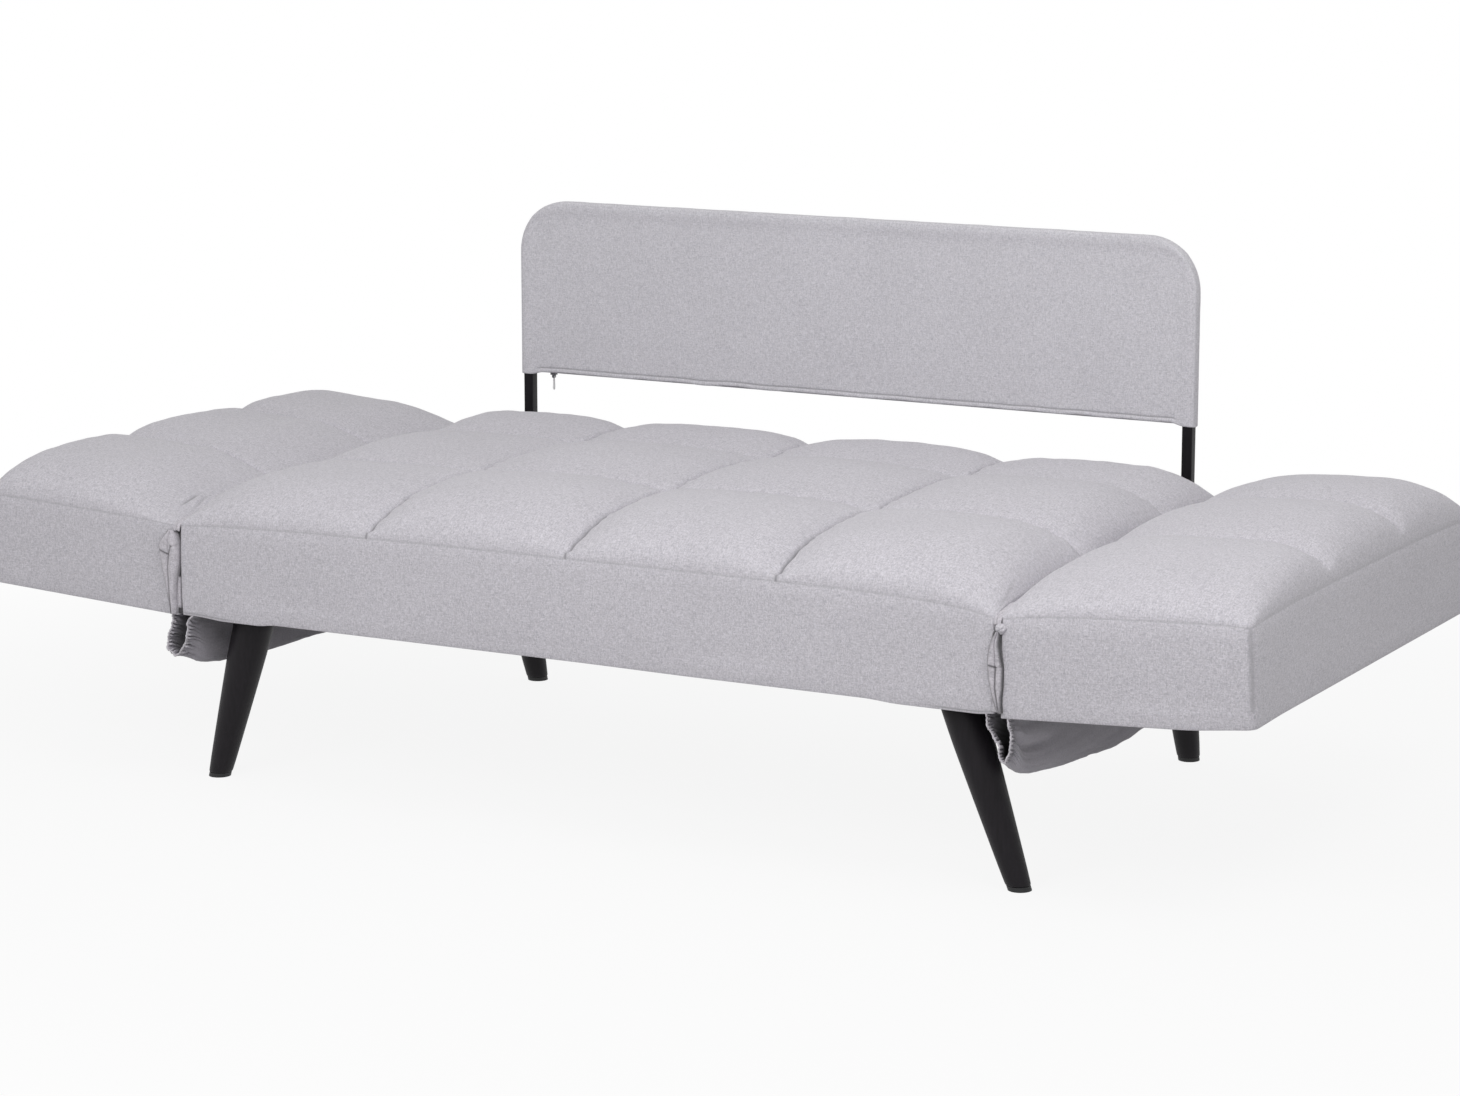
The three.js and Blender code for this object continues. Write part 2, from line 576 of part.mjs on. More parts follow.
// Gusset: cloth that hangs in a loop under the joint, held between the end rails, with
// a pleat folded into the front of the gap
function add_gusset(name, side, sag, gather) {
  const middle = gusset_thickness / 2 + fit_gap;
  const seat_x = seat_end_x + middle;
  const lean = Math.tan(arm_rest_angle);
  const arm_face_top_x = hinge_x + joint_gap / 2 / Math.cos(arm_rest_angle);
  const arm_face_x = (z) => arm_face_top_x + (hinge_z - z) * lean;
  const top_z = underside_height + rail_height;
  const lip_z = underside_height - gusset_thickness;
  const low_z = underside_height - gusset_mouth_drop + gusset_thickness / 2;
  const centre_x = (seat_x + arm_face_x(underside_height) - middle) / 2;
  const belly_z = (lip_z + low_z) / 2;
  const path = [
    [seat_x, top_z],
    [seat_x, lip_z],
    [centre_x - gusset_half_width, belly_z],
    [centre_x, low_z],
    [centre_x + gusset_half_width, belly_z],
    [arm_face_x(lip_z) - middle, lip_z],
    [arm_face_x(top_z) - middle, top_z],
  ];
  const points = path.map(([x, z]) => new THREE.Vector2(side * x, z));
  const outline = band_outline(points, gusset_thickness, gusset_steps);
  const loop_front = front_y + gusset_setback;
  const options = { depth: seat_rear_y - loop_front, steps: gusset_rings, bevelEnabled: false };
  const loop = new THREE.ExtrudeGeometry(outline, options).rotateX(quarter_turn);
  loop.translate(0, seat_rear_y, 0);
  open_loop(loop.attributes.position, loop_front, side * centre_x, lip_z, low_z, sag, gather);

  const half_fold = joint_gap / 2 - fit_gap;
  const fold = (reach) => box(
    [side * (hinge_x - half_fold + reach), front_y - pleat_reach + reach, underside_height + reach],
    [side * (hinge_x + half_fold - reach), front_y + pleat_depth, hinge_z - pleat_top_drop + reach],
  );
  const inside = fold(pleat_thickness).translate(0, cut_overrun, 0);
  const filled = cut(fold(0), [inside]);
  add_piece(sofa_bed, name, join([loop, filled]), gusset_fabric);
}

// A path through given stations, with a ring of the section exactly at each of them
class StationPath extends THREE.Curve {
  constructor(stations) {
    super();
    this.stations = stations;
  }

  station_at(u) {
    return this.stations[Math.round(u * (this.stations.length - 1))];
  }

  getPointAt(u) {
    return this.station_at(u).point.clone();
  }

  getTangentAt(u) {
    return this.station_at(u).tangent.clone();
  }
}

// Upside-down U in X and Z, from one foot over the top to the other
function hoop_stations(foot_z) {
  const stations = [];
  const add = (x, z, angle) => stations.push({
    point: new THREE.Vector3(x, tube_y, z),
    tangent: new THREE.Vector3(Math.cos(angle), 0, Math.sin(angle)),
  });
  add(-hoop_half_width, foot_z, quarter_turn);
  for (const side of [-1, 1]) {
    const centre_x = side * (hoop_half_width - hoop_bend_radius);
    const centre_z = hoop_top_height - hoop_bend_radius;
    for (let k = 0; k <= bend_steps; k += 1) {
      const turned = (quarter_turn * k) / bend_steps;
      const radial = side < 0 ? 2 * quarter_turn - turned : quarter_turn - turned;
      const x = centre_x + hoop_bend_radius * Math.cos(radial);
      add(x, centre_z + hoop_bend_radius * Math.sin(radial), radial - quarter_turn);
    }
  }
  add(hoop_half_width, foot_z, -quarter_turn);
  return stations;
}

function square_section(size, bore) {
  const square = (s) => [[-s, -s], [s, -s], [s, s], [-s, s]].map(([x, y]) => new THREE.Vector2(x, y));
  const shape = new THREE.Shape(square(size / 2));
  shape.holes.push(new THREE.Path(square(bore / 2)));
  return shape;
}

// An outline that follows the hoop at a distance outside its middle line
function hoop_outline(reach, bottom_z) {
  const half = hoop_half_width + reach;
  const top = hoop_top_height + reach;
  const r = hoop_bend_radius + reach;
  const shape = new THREE.Shape();
  shape.moveTo(-half, bottom_z);
  shape.lineTo(half, bottom_z);
  shape.absarc(half - r, top - r, r, 0, quarter_turn);
  shape.absarc(r - half, top - r, r, quarter_turn, 2 * quarter_turn);
  shape.closePath();
  return shape;
}

// Backrest: hoop, cross tube, pad and sleeve
function add_backrest() {
  const foot_z = underside_height + socket_floor + fit_gap;
  const stations = hoop_stations(foot_z);
  const section = square_section(tube_size, tube_size - 2 * tube_wall);
  const extrudePath = new StationPath(stations);
  const options = { steps: stations.length - 1, extrudePath, bevelEnabled: false };
  add_piece(sofa_bed, 'backrest_hoop', new THREE.ExtrudeGeometry(section, options), black_steel);

  const half_tube = tube_size / 2;
  const cross_x = hoop_half_width - half_tube - fit_gap;
  const cross_z = sleeve_bottom_height + sleeve_thickness + cross_tube_rise;
  const y0 = tube_y - half_tube;
  const y1 = tube_y + half_tube;
  const cross_outside = box([-cross_x, y0, cross_z], [cross_x, y1, cross_z + tube_size]);
  const bore = box(
    [-cross_x - cut_overrun, y0 + tube_wall, cross_z + tube_wall],
    [cross_x + cut_overrun, y1 - tube_wall, cross_z + tube_size - tube_wall],
  );
  add_piece(sofa_bed, 'backrest_cross_tube', cut(cross_outside, [bore]), black_steel);
  const pad_outline = hoop_outline(-half_tube - fit_gap, cross_z + tube_size + fit_gap);
  add_piece(sofa_bed, 'backrest_pad', plate_xz(pad_outline, y0, y1, bend_steps), pad_foam);

  const hem_z = sleeve_bottom_height;
  const about_hoop = (reach, bottom_z) => {
    return plate_xz(hoop_outline(reach, bottom_z), tube_y - reach, tube_y + reach, bend_steps);
  };
  const space = half_tube + fit_gap;
  const outside = about_hoop(sleeve_reach, hem_z);
  const cavity = about_hoop(space, hem_z + sleeve_thickness);
  const zip_x = hoop_half_width - half_tube - zip_end_gap;
  const slot_low = [-zip_x - fit_gap, tube_y - zip_width / 2 - fit_gap, hem_z - cut_overrun];
  const slot = box(slot_low, [zip_x + fit_gap, tube_y + zip_width / 2 + fit_gap, hem_z + cut_overrun]);
  const tube_hole = (side) => box(
    [side * hoop_half_width - space, tube_y - space, hem_z - cut_overrun],
    [side * hoop_half_width + space, tube_y + space, hem_z + cut_overrun],
  );
  const sleeve = cut(outside, [cavity, slot, tube_hole(-1), tube_hole(1)]);
  add_piece(sofa_bed, 'backrest_sleeve', sleeve, cover_fabric);
  add_zip(zip_x, hem_z - zip_drop);
}

// Zip in the sleeve's hem, its slider, and the pull that hangs from it
function add_zip(zip_x, zip_z) {
  const tape = box(
    [-zip_x, tube_y - zip_width / 2, zip_z],
    [zip_x, tube_y + zip_width / 2, zip_z + zip_height],
  );
  add_piece(sofa_bed, 'backrest_zip', tape, zip_plastic);

  const slider_x = slider_start - zip_x;
  const slider_top = zip_z - fit_gap;
  const slider_low = slider_top - slider_height;
  const body = box(
    [slider_x - slider_length / 2, tube_y - slider_width / 2, slider_low],
    [slider_x + slider_length / 2, tube_y + slider_width / 2, slider_top],
  );
  const cheek_inside = pull_width / 2 + pull_clearance;
  const cheek_outside = cheek_inside + cheek_thickness;
  const cheek = (side) => box(
    [slider_x - cheek_length / 2, tube_y + side * cheek_inside, slider_low - cheek_height],
    [slider_x + cheek_length / 2, tube_y + side * cheek_outside, slider_top - slider_height / 2],
  );
  const pivot_z = slider_low - cheek_height + cheek_length / 2;
  const pin_length = cheek_inside + cheek_outside;
  const pin = new THREE.CylinderGeometry(pull_pin_radius, pull_pin_radius, pin_length, pull_sides);
  pin.translate(slider_x, tube_y, pivot_z);
  add_piece(sofa_bed, 'zip_slider', join([body, cheek(-1), cheek(1), pin]), zinc_steel);

  const shape = new THREE.Shape();
  shape.moveTo(pull_neck / 2, -pull_eye_radius * Math.SQRT1_2);
  shape.absarc(0, 0, pull_eye_radius, -quarter_turn / 2, 2.5 * quarter_turn);
  shape.lineTo(-pull_neck / 2, -pull_neck_drop);
  shape.lineTo(-pull_tip / 2, pull_tip - pull_length);
  shape.lineTo(0, -pull_length);
  shape.lineTo(pull_tip / 2, pull_tip - pull_length);
  shape.lineTo(pull_neck / 2, -pull_neck_drop);
  shape.closePath();
  const hole = new THREE.Path();
  hole.absarc(0, 0, pull_pin_radius + pull_clearance, 0, 4 * quarter_turn);
  shape.holes.push(hole);
  const pull = plate_xz(shape, -pull_width / 2, pull_width / 2, pull_sides);
  add_piece(sofa_bed, 'zip_pull', pull.translate(slider_x, tube_y, pivot_z), zip_plastic);
}

// Sockets on the seat's rear rail that hold the feet of the hoop
function add_sockets() {
  const z0 = underside_height;
  const z1 = underside_height + rail_height;
  const bore = tube_size / 2 + fit_gap;
  const outside = bore + socket_wall;
  for (const [name, side] of [['left', -1], ['right', 1]]) {
    const x = side * hoop_half_width;
    const plate_y = seat_rear_y + fit_gap;
    const half_plate = socket_plate_width / 2;
    const plate_end = plate_y + socket_plate_thickness;
    const plate = box([x - half_plate, plate_y, z0], [x + half_plate, plate_end, z1]);
    const block = box([x - outside, plate_y, z0], [x + outside, tube_y + outside, z1]);
    const pocket_low = [x - bore, tube_y - bore, z0 + socket_floor];
    const pocket = box(pocket_low, [x + bore, tube_y + bore, z1 + cut_overrun]);
    add_piece(sofa_bed, `${name}_backrest_socket`, cut(join([plate, block]), [pocket]), black_steel);
  }
}

add_seat();
add_arm('left_arm', -1);
add_arm('right_arm', 1);
add_legs();
add_gusset('left_gusset', -1, left_gusset_sag, left_gusset_gather);
add_gusset('right_gusset', 1, right_gusset_sag, right_gusset_gather);
add_backrest();
add_sockets();

export default sofa_bed;
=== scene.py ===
"""Looks of a click clack sofa bed: upholstery, gathered gussets, sleeve, hoop and legs.

Metres, +Z up. X runs along the seat, -Y is the front, the floor is at Z 0.
"""
import json
import math

import bmesh
import bpy
import numpy as np
from mathutils import Matrix, Vector


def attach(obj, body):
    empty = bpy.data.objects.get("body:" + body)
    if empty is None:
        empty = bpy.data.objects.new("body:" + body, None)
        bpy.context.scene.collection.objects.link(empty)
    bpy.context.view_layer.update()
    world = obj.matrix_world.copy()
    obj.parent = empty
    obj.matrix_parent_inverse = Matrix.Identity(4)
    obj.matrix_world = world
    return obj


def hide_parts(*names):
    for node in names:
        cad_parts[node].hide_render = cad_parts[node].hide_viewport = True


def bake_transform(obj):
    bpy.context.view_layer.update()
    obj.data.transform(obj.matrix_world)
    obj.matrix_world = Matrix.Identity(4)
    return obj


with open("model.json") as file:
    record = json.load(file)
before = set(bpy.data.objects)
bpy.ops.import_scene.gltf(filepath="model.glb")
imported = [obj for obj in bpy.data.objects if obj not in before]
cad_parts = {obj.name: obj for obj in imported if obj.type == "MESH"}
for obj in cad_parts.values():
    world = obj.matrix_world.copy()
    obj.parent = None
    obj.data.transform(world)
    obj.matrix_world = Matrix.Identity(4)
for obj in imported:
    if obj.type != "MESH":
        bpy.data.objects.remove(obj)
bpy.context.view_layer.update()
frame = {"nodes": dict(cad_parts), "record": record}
SCENE = bpy.context.scene
NODES = frame["nodes"]
SIDES = ((-1, "left"), (1, "right"))

# Sizes of the solids that the looks follow
HINGE_X = 0.600
HINGE_Z = 0.350
UNDERSIDE = 0.237
END_GAP = 0.004  # from a hinge line to the end face of seat or arm
SEAT_END = HINGE_X - END_GAP
FRONT_Y = -0.400
SEAT_REAR_Y = 0.345
ARM_REAR_Y = 0.400
ARM_LENGTH = 0.320
ARM_TILT = math.radians(3.0)
TUBE_Y = 0.368
TUBE_HALF = 0.0075
HOOP_HALF = 0.5265
HOOP_TOP = 0.7185
HOOP_BEND = 0.065
HEM_Z = 0.475
COLUMN_SEAMS = (-0.300, 0.0, 0.300)
ROW_SEAMS = (-0.400 / 3, 0.400 / 3)
LEG_FOOT_Z = 0.0063
LEG_TOP_Z = 0.2316
FRONT_FOOT = (0.598, -0.324)
FRONT_LEG_TOP = (0.522, -0.338)
REAR_FOOT = (0.530, 0.386)
REAR_LEG_TOP = (0.530, 0.310)


# Small helpers
def smoothstep(t):
    t = np.clip(t, 0.0, 1.0)
    return t * t * (3 - 2 * t)


def bell(d, width):
    """1 at d = 0, falling off smoothly on both sides"""
    return np.exp(-(d / width) ** 2)


def fade(d, reach):
    """1 at d = 0, falling off with distance"""
    return np.exp(-d / reach)


def wander(*coords, seed=0, size=0.1, waves=14):
    """A smooth random field between about -1 and 1, the same on every run"""
    rng = np.random.default_rng(seed)
    total = 0.0
    for _ in range(waves):
        direction = rng.normal(size=len(coords))
        direction /= np.linalg.norm(direction)
        pitch = size * rng.uniform(0.6, 1.7)
        phase = rng.uniform(0, 2 * math.pi)
        along = sum(c * d for c, d in zip(coords, direction))
        total = total + np.sin(along * 2 * math.pi / pitch + phase)
    return total / math.sqrt(waves)


def edit_mesh(mesh, change):
    """Runs a change on a mesh's bmesh and writes it back"""
    bm = bmesh.new()
    bm.from_mesh(mesh)
    change(bm)
    bm.to_mesh(mesh)
    bm.free()


def face_outwards(bm):
    bmesh.ops.recalc_face_normals(bm, faces=bm.faces)


def make_mesh(name, points, faces, materials, smooth=True, painted_shade=None):
    """A mesh object. The last argument is shade painted into the cloth's seams, folds and gaps, one value a
    point.
    """
    mesh = bpy.data.meshes.new(name)
    mesh.from_pydata([tuple(p) for p in points], [], [tuple(f) for f in faces])
    mesh.update()
    if painted_shade is not None:
        layer = mesh.attributes.new("painted_shade", "FLOAT", "POINT")
        layer.data.foreach_set("value", np.asarray(painted_shade, np.float32))
    obj = bpy.data.objects.new(name, mesh)
    SCENE.collection.objects.link(obj)
    for material in materials:
        mesh.materials.append(material)
    edit_mesh(mesh, face_outwards)
    mesh.polygons.foreach_set("use_smooth", [smooth] * len(mesh.polygons))
    mesh.update()
    return obj


def grid_faces(rows, columns, first=0, closed_columns=False):
    faces = []
    for i in range(rows - 1):
        for j in range(columns if closed_columns else columns - 1):
            a = first + i * columns + j
            d = first + i * columns + (j + 1) % columns
            faces.append((a, a + columns, d + columns, d))
    return faces


def band_faces(previous, now, closed=False):
    """Faces between two rows of point numbers"""
    last = len(previous) if closed else len(previous) - 1
    ahead = [(k + 1) % len(previous) for k in range(last)]
    return [(previous[k], previous[m], now[m], now[k]) for k, m in enumerate(ahead)]


def graded(start, end, seams, finest=0.0022, coarsest=0.0085, growth=0.11):
    """Grid lines between two ends, closer beside the ends and the seams"""
    stops = [start, *seams, end]
    lines = [start]
    for a, b in zip(stops, stops[1:]):
        half = (b - a) / 2
        places, d = [], 0.0
        while d < half:
            d += min(coarsest, finest + growth * d)
            places.append(d)
        places = np.array(places) * half / places[-1]
        lines.extend(a + places)
        lines.extend((b - places[:-1])[::-1])
        lines.append(b)
    return np.array(lines)


def nearest(values, places):
    """Distance to the nearest of some places, or a far one where there is no place"""
    if not len(places):
        return np.full_like(values, 9.0)
    return np.min([np.abs(values - p) for p in places], axis=0)


# Materials
def srgb(r, g, b):
    linear = []
    for c in (r, g, b):
        c /= 255
        linear.append(c / 12.92 if c <= 0.04045 else ((c + 0.055) / 1.055) ** 2.4)
    return (*linear, 1.0)


class Nodes:
    """A node tree with short calls to add to it"""

    def __init__(self, owner):
        owner.use_nodes = True
        self.owner = owner
        self.tree = owner.node_tree
        self.shader = self.tree.nodes.get("Principled BSDF")

    def add(self, kind, inputs=None, **settings):
        node = self.tree.nodes.new(kind)
        for key, value in settings.items():
            setattr(node, key, value)
        for key, value in (inputs or {}).items():
            self.put(node.inputs[key], value)
        return node

    def put(self, socket, value):
        if isinstance(value, bpy.types.NodeSocket):
            self.tree.links.new(value, socket)
        else:
            socket.default_value = value

    def finish(self, **inputs):
        """Sets the shader's inputs, named with _ for a space, and gives the material"""
        for key, value in inputs.items():
            self.put(self.shader.inputs[key.replace("_", " ")], value)
        return self.owner

    def math(self, operation, a, b=0.0):
        node = self.add("ShaderNodeMath", operation=operation)
        self.put(node.inputs[0], a)
        self.put(node.inputs[1], b)
        return node.outputs[0]

    def mix(self, factor, a, b, blend="MIX"):
        node = self.add("ShaderNodeMix", data_type="RGBA", blend_type=blend)
        self.put(node.inputs[0], factor)
        self.put(node.inputs[6], a)
        self.put(node.inputs[7], b)
        return node.outputs[2]

    def ramp(self, value, stops):
        node = self.add("ShaderNodeValToRGB", {"Fac": value})
        elements = node.color_ramp.elements
        while len(elements) < len(stops):
            elements.new(0.5)
        for element, (place, colour) in zip(elements, stops):
            element.position = place
            element.color = (*colour[:3], 1.0)
        return node.outputs[0]

    def noise(self, vector, scale, detail=2.0, roughness=0.55):
        inputs = {"Vector": vector, "Scale": scale, "Detail": detail, "Roughness": roughness}
        return self.add("ShaderNodeTexNoise", inputs).outputs["Fac"]

    def bump(self, height, distance, strength):
        inputs = {"Height": height, "Distance": distance, "Strength": strength}
        return self.add("ShaderNodeBump", inputs).outputs[0]


SLUB_ACROSS, SLUB_ALONG = 620.0, 110.0  # noise scales of the slubs, across and along a yarn
GRAIN_SCALE = 430.0
CLOUD_SCALE = 9.0
FLOAT_SIZE = 0.0014  # each float of yarn on the face


def fabric(name, colour, thread=0.0011, fleck=1.0, weave=0.00022, sheen=0.25, painted_shade_colour=0.5):
    """Woven melange cloth. The weave is laid on the plane that a face turns to, the
    flecks are slubs of lighter and darker yarn, and a layer of painted shade darkens seams, folds and gaps."""
    n = Nodes(bpy.data.materials.new(name))
    where = n.add("ShaderNodeTexCoord").outputs["Object"]
    split = n.add("ShaderNodeSeparateXYZ", {"Vector": where}).outputs
    facing = n.add("ShaderNodeNewGeometry").outputs["Normal"]
    turned = n.add("ShaderNodeSeparateXYZ", {"Vector": facing}).outputs
    ax, ay, az = (n.math("ABSOLUTE", turned[k]) for k in range(3))
    flat_x = n.math("GREATER_THAN", ax, n.math("MAXIMUM", ay, az))
    flat_z = n.math("GREATER_THAN", az, n.math("MAXIMUM", ax, ay))
    # u runs along X, or along Y on the ends. v runs up, or along Y on the top.
    u = n.math("ADD", n.math("MULTIPLY", split[1], flat_x),
               n.math("MULTIPLY", split[0], n.math("SUBTRACT", 1.0, flat_x)))
    v = n.math("ADD", n.math("MULTIPLY", split[1], flat_z),
               n.math("MULTIPLY", split[2], n.math("SUBTRACT", 1.0, flat_z)))
    turns = 2 * math.pi / thread
    warp, weft = (n.math("SINE", n.math("MULTIPLY", way, turns)) for way in (u, v))
    plane = n.add("ShaderNodeCombineXYZ", {"X": u, "Y": v}).outputs[0]
    slubs = []
    for scale in ((SLUB_ALONG, SLUB_ACROSS, 1.0), (SLUB_ACROSS, SLUB_ALONG, 1.0)):
        stretched = n.add("ShaderNodeMapping", {"Vector": plane, "Scale": scale}).outputs[0]
        slubs.append(n.noise(stretched, 1.0))
    slub = n.math("MULTIPLY", n.math("ADD", *slubs), 0.5)

    def tint(k, shift=(1, 1, 1)):
        return np.clip(np.array(colour[:3]) * k * np.array(shift), 0, 1)

    shaded = n.ramp(slub, [
        (0.34, tint(1 - 0.20 * fleck, (0.99, 0.99, 1.02))),
        (0.47, tint(1 - 0.03 * fleck, (1.005, 1.0, 1.0))),
        (0.56, tint(1 + 0.03 * fleck)),
        (0.70, tint(1 + 0.13 * fleck, (1.0, 0.995, 1.01))),
    ])
    grains = n.ramp(n.noise(where, GRAIN_SCALE, 3.0, 0.7), [
        (0.30, np.array((0.86, 0.86, 0.89)) ** fleck),
        (0.52, (1.0, 0.99, 1.0)),
        (0.74, np.array((1.09, 1.075, 1.09)) ** fleck),
    ])
    # each float of yarn on the face has a tone of its own
    steps = [n.math("FLOOR", n.math("DIVIDE", way, FLOAT_SIZE)) for way in (u, v)]
    cell = n.add("ShaderNodeCombineXYZ", {"X": steps[0], "Y": steps[1], "Z": flat_z}).outputs[0]
    yarn = n.add("ShaderNodeTexWhiteNoise", {"Vector": cell}, noise_dimensions="3D").outputs["Value"]
    yarns = n.ramp(yarn, [(0.0, [1 - 0.12 * fleck] * 3), (1.0, [1 + 0.12 * fleck] * 3)])
    clouds = n.ramp(n.noise(where, CLOUD_SCALE, 2.0, 0.5), [(0.3, [0.985] * 3), (0.7, [1.015] * 3)])
    for layer in (grains, yarns, clouds):
        shaded = n.mix(1.0, shaded, layer, "MULTIPLY")
    # painted shade: where the mesh's layer is 1 the colour goes to a darker tone of itself, standing in for
    # shade in seams, folds and gaps
    painted_shade = n.add("ShaderNodeAttribute", attribute_name="painted_shade").outputs["Fac"]
    dark = (*tint(painted_shade_colour), 1.0)
    over = n.math("MULTIPLY", warp, weft)
    height = n.math("ADD", n.math("MULTIPLY", over, 0.55), n.math("MULTIPLY", slub, 1.1))
    return n.finish(Base_Color=n.mix(painted_shade, shaded, dark), Normal=n.bump(height, weave, 0.8),
                    Roughness=0.92, Specular_IOR_Level=0.18, Sheen_Weight=sheen,
                    Sheen_Roughness=0.55)


def solid_material(name, colour, roughness, metallic=0.0, grain=(1, 1, 1), scale=80.0,
                   contrast=0.12, bump=0.0002, specular=0.5):
    """Paint, lacquer, timber, metal or plastic with fine variation in tone and height"""
    n = Nodes(bpy.data.materials.new(name))
    where = n.add("ShaderNodeTexCoord").outputs["Object"]
    stretched = n.add("ShaderNodeMapping", {"Vector": where, "Scale": grain}).outputs[0]
    tone = n.noise(stretched, scale, 4.0, 0.6)
    base = np.array(colour[:3])
    tones = n.ramp(tone, [(0.32, base * (1 - contrast)), (0.68, np.minimum(base * (1 + contrast), 1))])
    fine = n.noise(stretched, scale * 9, 3.0, 0.6)
    low, high = max(0.02, roughness - 0.06), min(1.0, roughness + 0.06)
    spread = n.add("ShaderNodeMapRange", {"Value": fine, "To Min": low, "To Max": high})
    return n.finish(Base_Color=tones, Roughness=spread.outputs[0], Normal=n.bump(fine, bump, 0.5),
                    Metallic=metallic, Specular_IOR_Level=specular)


# Each cloth's painted shade darkens it down to a share of its colour: half, or the share given last
COVER = fabric("cover_fabric", srgb(196, 194, 199))
SLEEVE = fabric("sleeve_fabric", srgb(204, 203, 207), fleck=0.85)
FOLDS = fabric("folded_fabric", srgb(194, 191, 196), painted_shade_colour=0.10)
LOOP = fabric("loop_fabric", srgb(176, 173, 180), fleck=0.6, weave=0.00014, painted_shade_colour=0.22)
BINDING = fabric("binding_fabric", srgb(192, 189, 194), fleck=0.5, weave=0.00012)
BLACK_STEEL = solid_material("black_steel", srgb(27, 25, 28), 0.5, scale=400, contrast=0.1, specular=0.22)
BLACK_WOOD = solid_material("leg_black", srgb(27, 24, 28), 0.5, grain=(1, 1, 0.12), scale=220,
                            contrast=0.22, bump=0.0003, specular=0.2)
MATERIAL_OF_SLOT = {
    "cover_fabric": COVER,
    "gusset_fabric": LOOP,
    "black_steel": BLACK_STEEL,
    "leg_black": BLACK_WOOD,
    "pad_foam": fabric("pad_foam", srgb(231, 228, 215), fleck=0.4),
    "dust_cloth": fabric("dust_cloth", srgb(34, 34, 36), thread=0.0008, fleck=0.6, sheen=0.05),
    "timber": solid_material("timber", srgb(190, 152, 106), 0.65, grain=(0.25, 1, 1), scale=60,
                             contrast=0.16),
    "plywood": solid_material("plywood", srgb(206, 174, 130), 0.6, grain=(1, 0.2, 3), scale=30),
    "glide_plastic": solid_material("glide_plastic", srgb(25, 25, 27), 0.6, scale=500),
    "zinc_steel": solid_material("zinc_steel", srgb(150, 151, 155), 0.38, metallic=0.9, scale=300),
    "zip_plastic": solid_material("zip_plastic", srgb(168, 165, 171), 0.55, scale=900),
}
MATERIAL_OF_NODE = {row["node"]: MATERIAL_OF_SLOT[row["material_slot"]]
                    for row in frame["record"]["subparts"]}
MATERIAL_OF_NODE["zip_pull"] = solid_material("zip_pull_plastic", srgb(214, 213, 214), 0.45, scale=900)
MATERIAL_OF_NODE["zip_slider"] = solid_material("zip_slider_metal", srgb(96, 95, 98), 0.4,
                                                metallic=0.8, scale=900)
for node, material in MATERIAL_OF_NODE.items():
    NODES[node].data.materials.clear()
    NODES[node].data.materials.append(material)


# Tufted covers
EDGE_ROLL = 0.105  # how far in from an edge the pads reach their height
JOINT_ROLLS = (0.1085, 0.0955)  # the same from the left and right joint, on the seat
SEAT_SEAM = 0.0181  # height of the edge seam above the hinge line, away from the joints
SEAT_LIFT = dict(crown=0.0360, bulge=0.0145, slope=0.0034)
SEAT_TUFTS = (0.0240, 0.0240, 0.0165)  # pads above the sewn seams, from front to rear
REAR_FILL = 0.0105  # how much fuller the rear of the seat is
# how much fuller or flatter single pads are than the rest, by column and row
PAD_CHANGES = (
    (-0.0065, -0.0065, -0.0014), (0.0015, 0.0, -0.0034),
    (-0.0015, 0.001, -0.0033), (-0.001, 0.0, -0.0068),
)
# The left arm is -1 and the right arm 1. Each roll is its reach and its power, and
# joint_seam a height and how far it climbs.
ARMS = {
    -1: dict(lift=dict(crown=0.0402, bulge=0.0066, slope=-0.0002), tufts=(0.0110, 0.0110, 0.0120),
             joint_roll=(0.144, 1.28), end_roll=(0.074, 2.6), joint_seam=(0.0068, 0.0015)),
    1: dict(lift=dict(crown=0.0272, bulge=0.0291, slope=0.0064), tufts=(0.0187, 0.0170, 0.0223),
            joint_roll=(0.160, 2.6), end_roll=(0.144, 2.6), joint_seam=(0.0015, 0.0065)),
}
GROOVE_HALF, GROOVE_DEPTH = 0.0034, 0.0030  # of a sewn seam
CROSSING_REACH, CROSSING_DEPTH = 0.020, 0.0040  # where two seams cross
PUCKER_PITCH, PUCKER_REACH, PUCKER_DEPTH = 0.024, 0.020, 0.0011  # along a seam
RELIEF_START = 0.012  # the relief starts over this distance from an edge
JOINT_RELIEF_START = 0.03
SEAM_LINE = 0.0013  # half width of a seam's dark line
TUCK_WIDTH = 0.0022
# ends of single folds, as (x, y) on the seat and (outward, y) on the arm
SEAT_TUCK = ((-0.590, -0.372), (-0.566, -0.318))
RIGHT_TUCK = ((0.5950, -0.3900), (0.5860, -0.3200))
ARM_TUCKS = (((0.0300, -0.3580), (0.0390, -0.2980)), ((0.0165, -0.3450), (0.0335, -0.2880)))


def round_rise(d, width, power=2.0):
    t = np.clip(d / width, 0, 1)
    return np.maximum(0, 1 - (1 - t) ** power) ** (1 / power)


def pad_index(v, seams):
    return np.sum([v > seam for seam in seams], axis=0)


def pad_dome(v, seams, low, high, p, q=1.6):
    """1 in the middle of each pad and 0 at the seams. The outermost pads don't fall
    off towards the ends, because the edge roll does that."""
    stops = np.array([low, *seams, high])
    k = pad_index(v, seams)
    a, b = stops[k], stops[k + 1]
    u = (v - (a + b) / 2) / ((b - a) / 2)
    u = np.where((k == 0) & (u < 0), 0, u)
    u = np.where((k == len(seams)) & (u > 0), 0, u)
    return np.maximum(0, 1 - np.abs(u) ** p) ** (1 / q)


def lift_over(y, rear, lift):
    """How far the cover's crown stands above the edge seam along Y"""
    middle, half = (rear + FRONT_Y) / 2, (rear - FRONT_Y) / 2
    return lift["crown"] + lift["bulge"] * (1 - ((y - middle) / half) ** 2) + lift["slope"] * y / -FRONT_Y


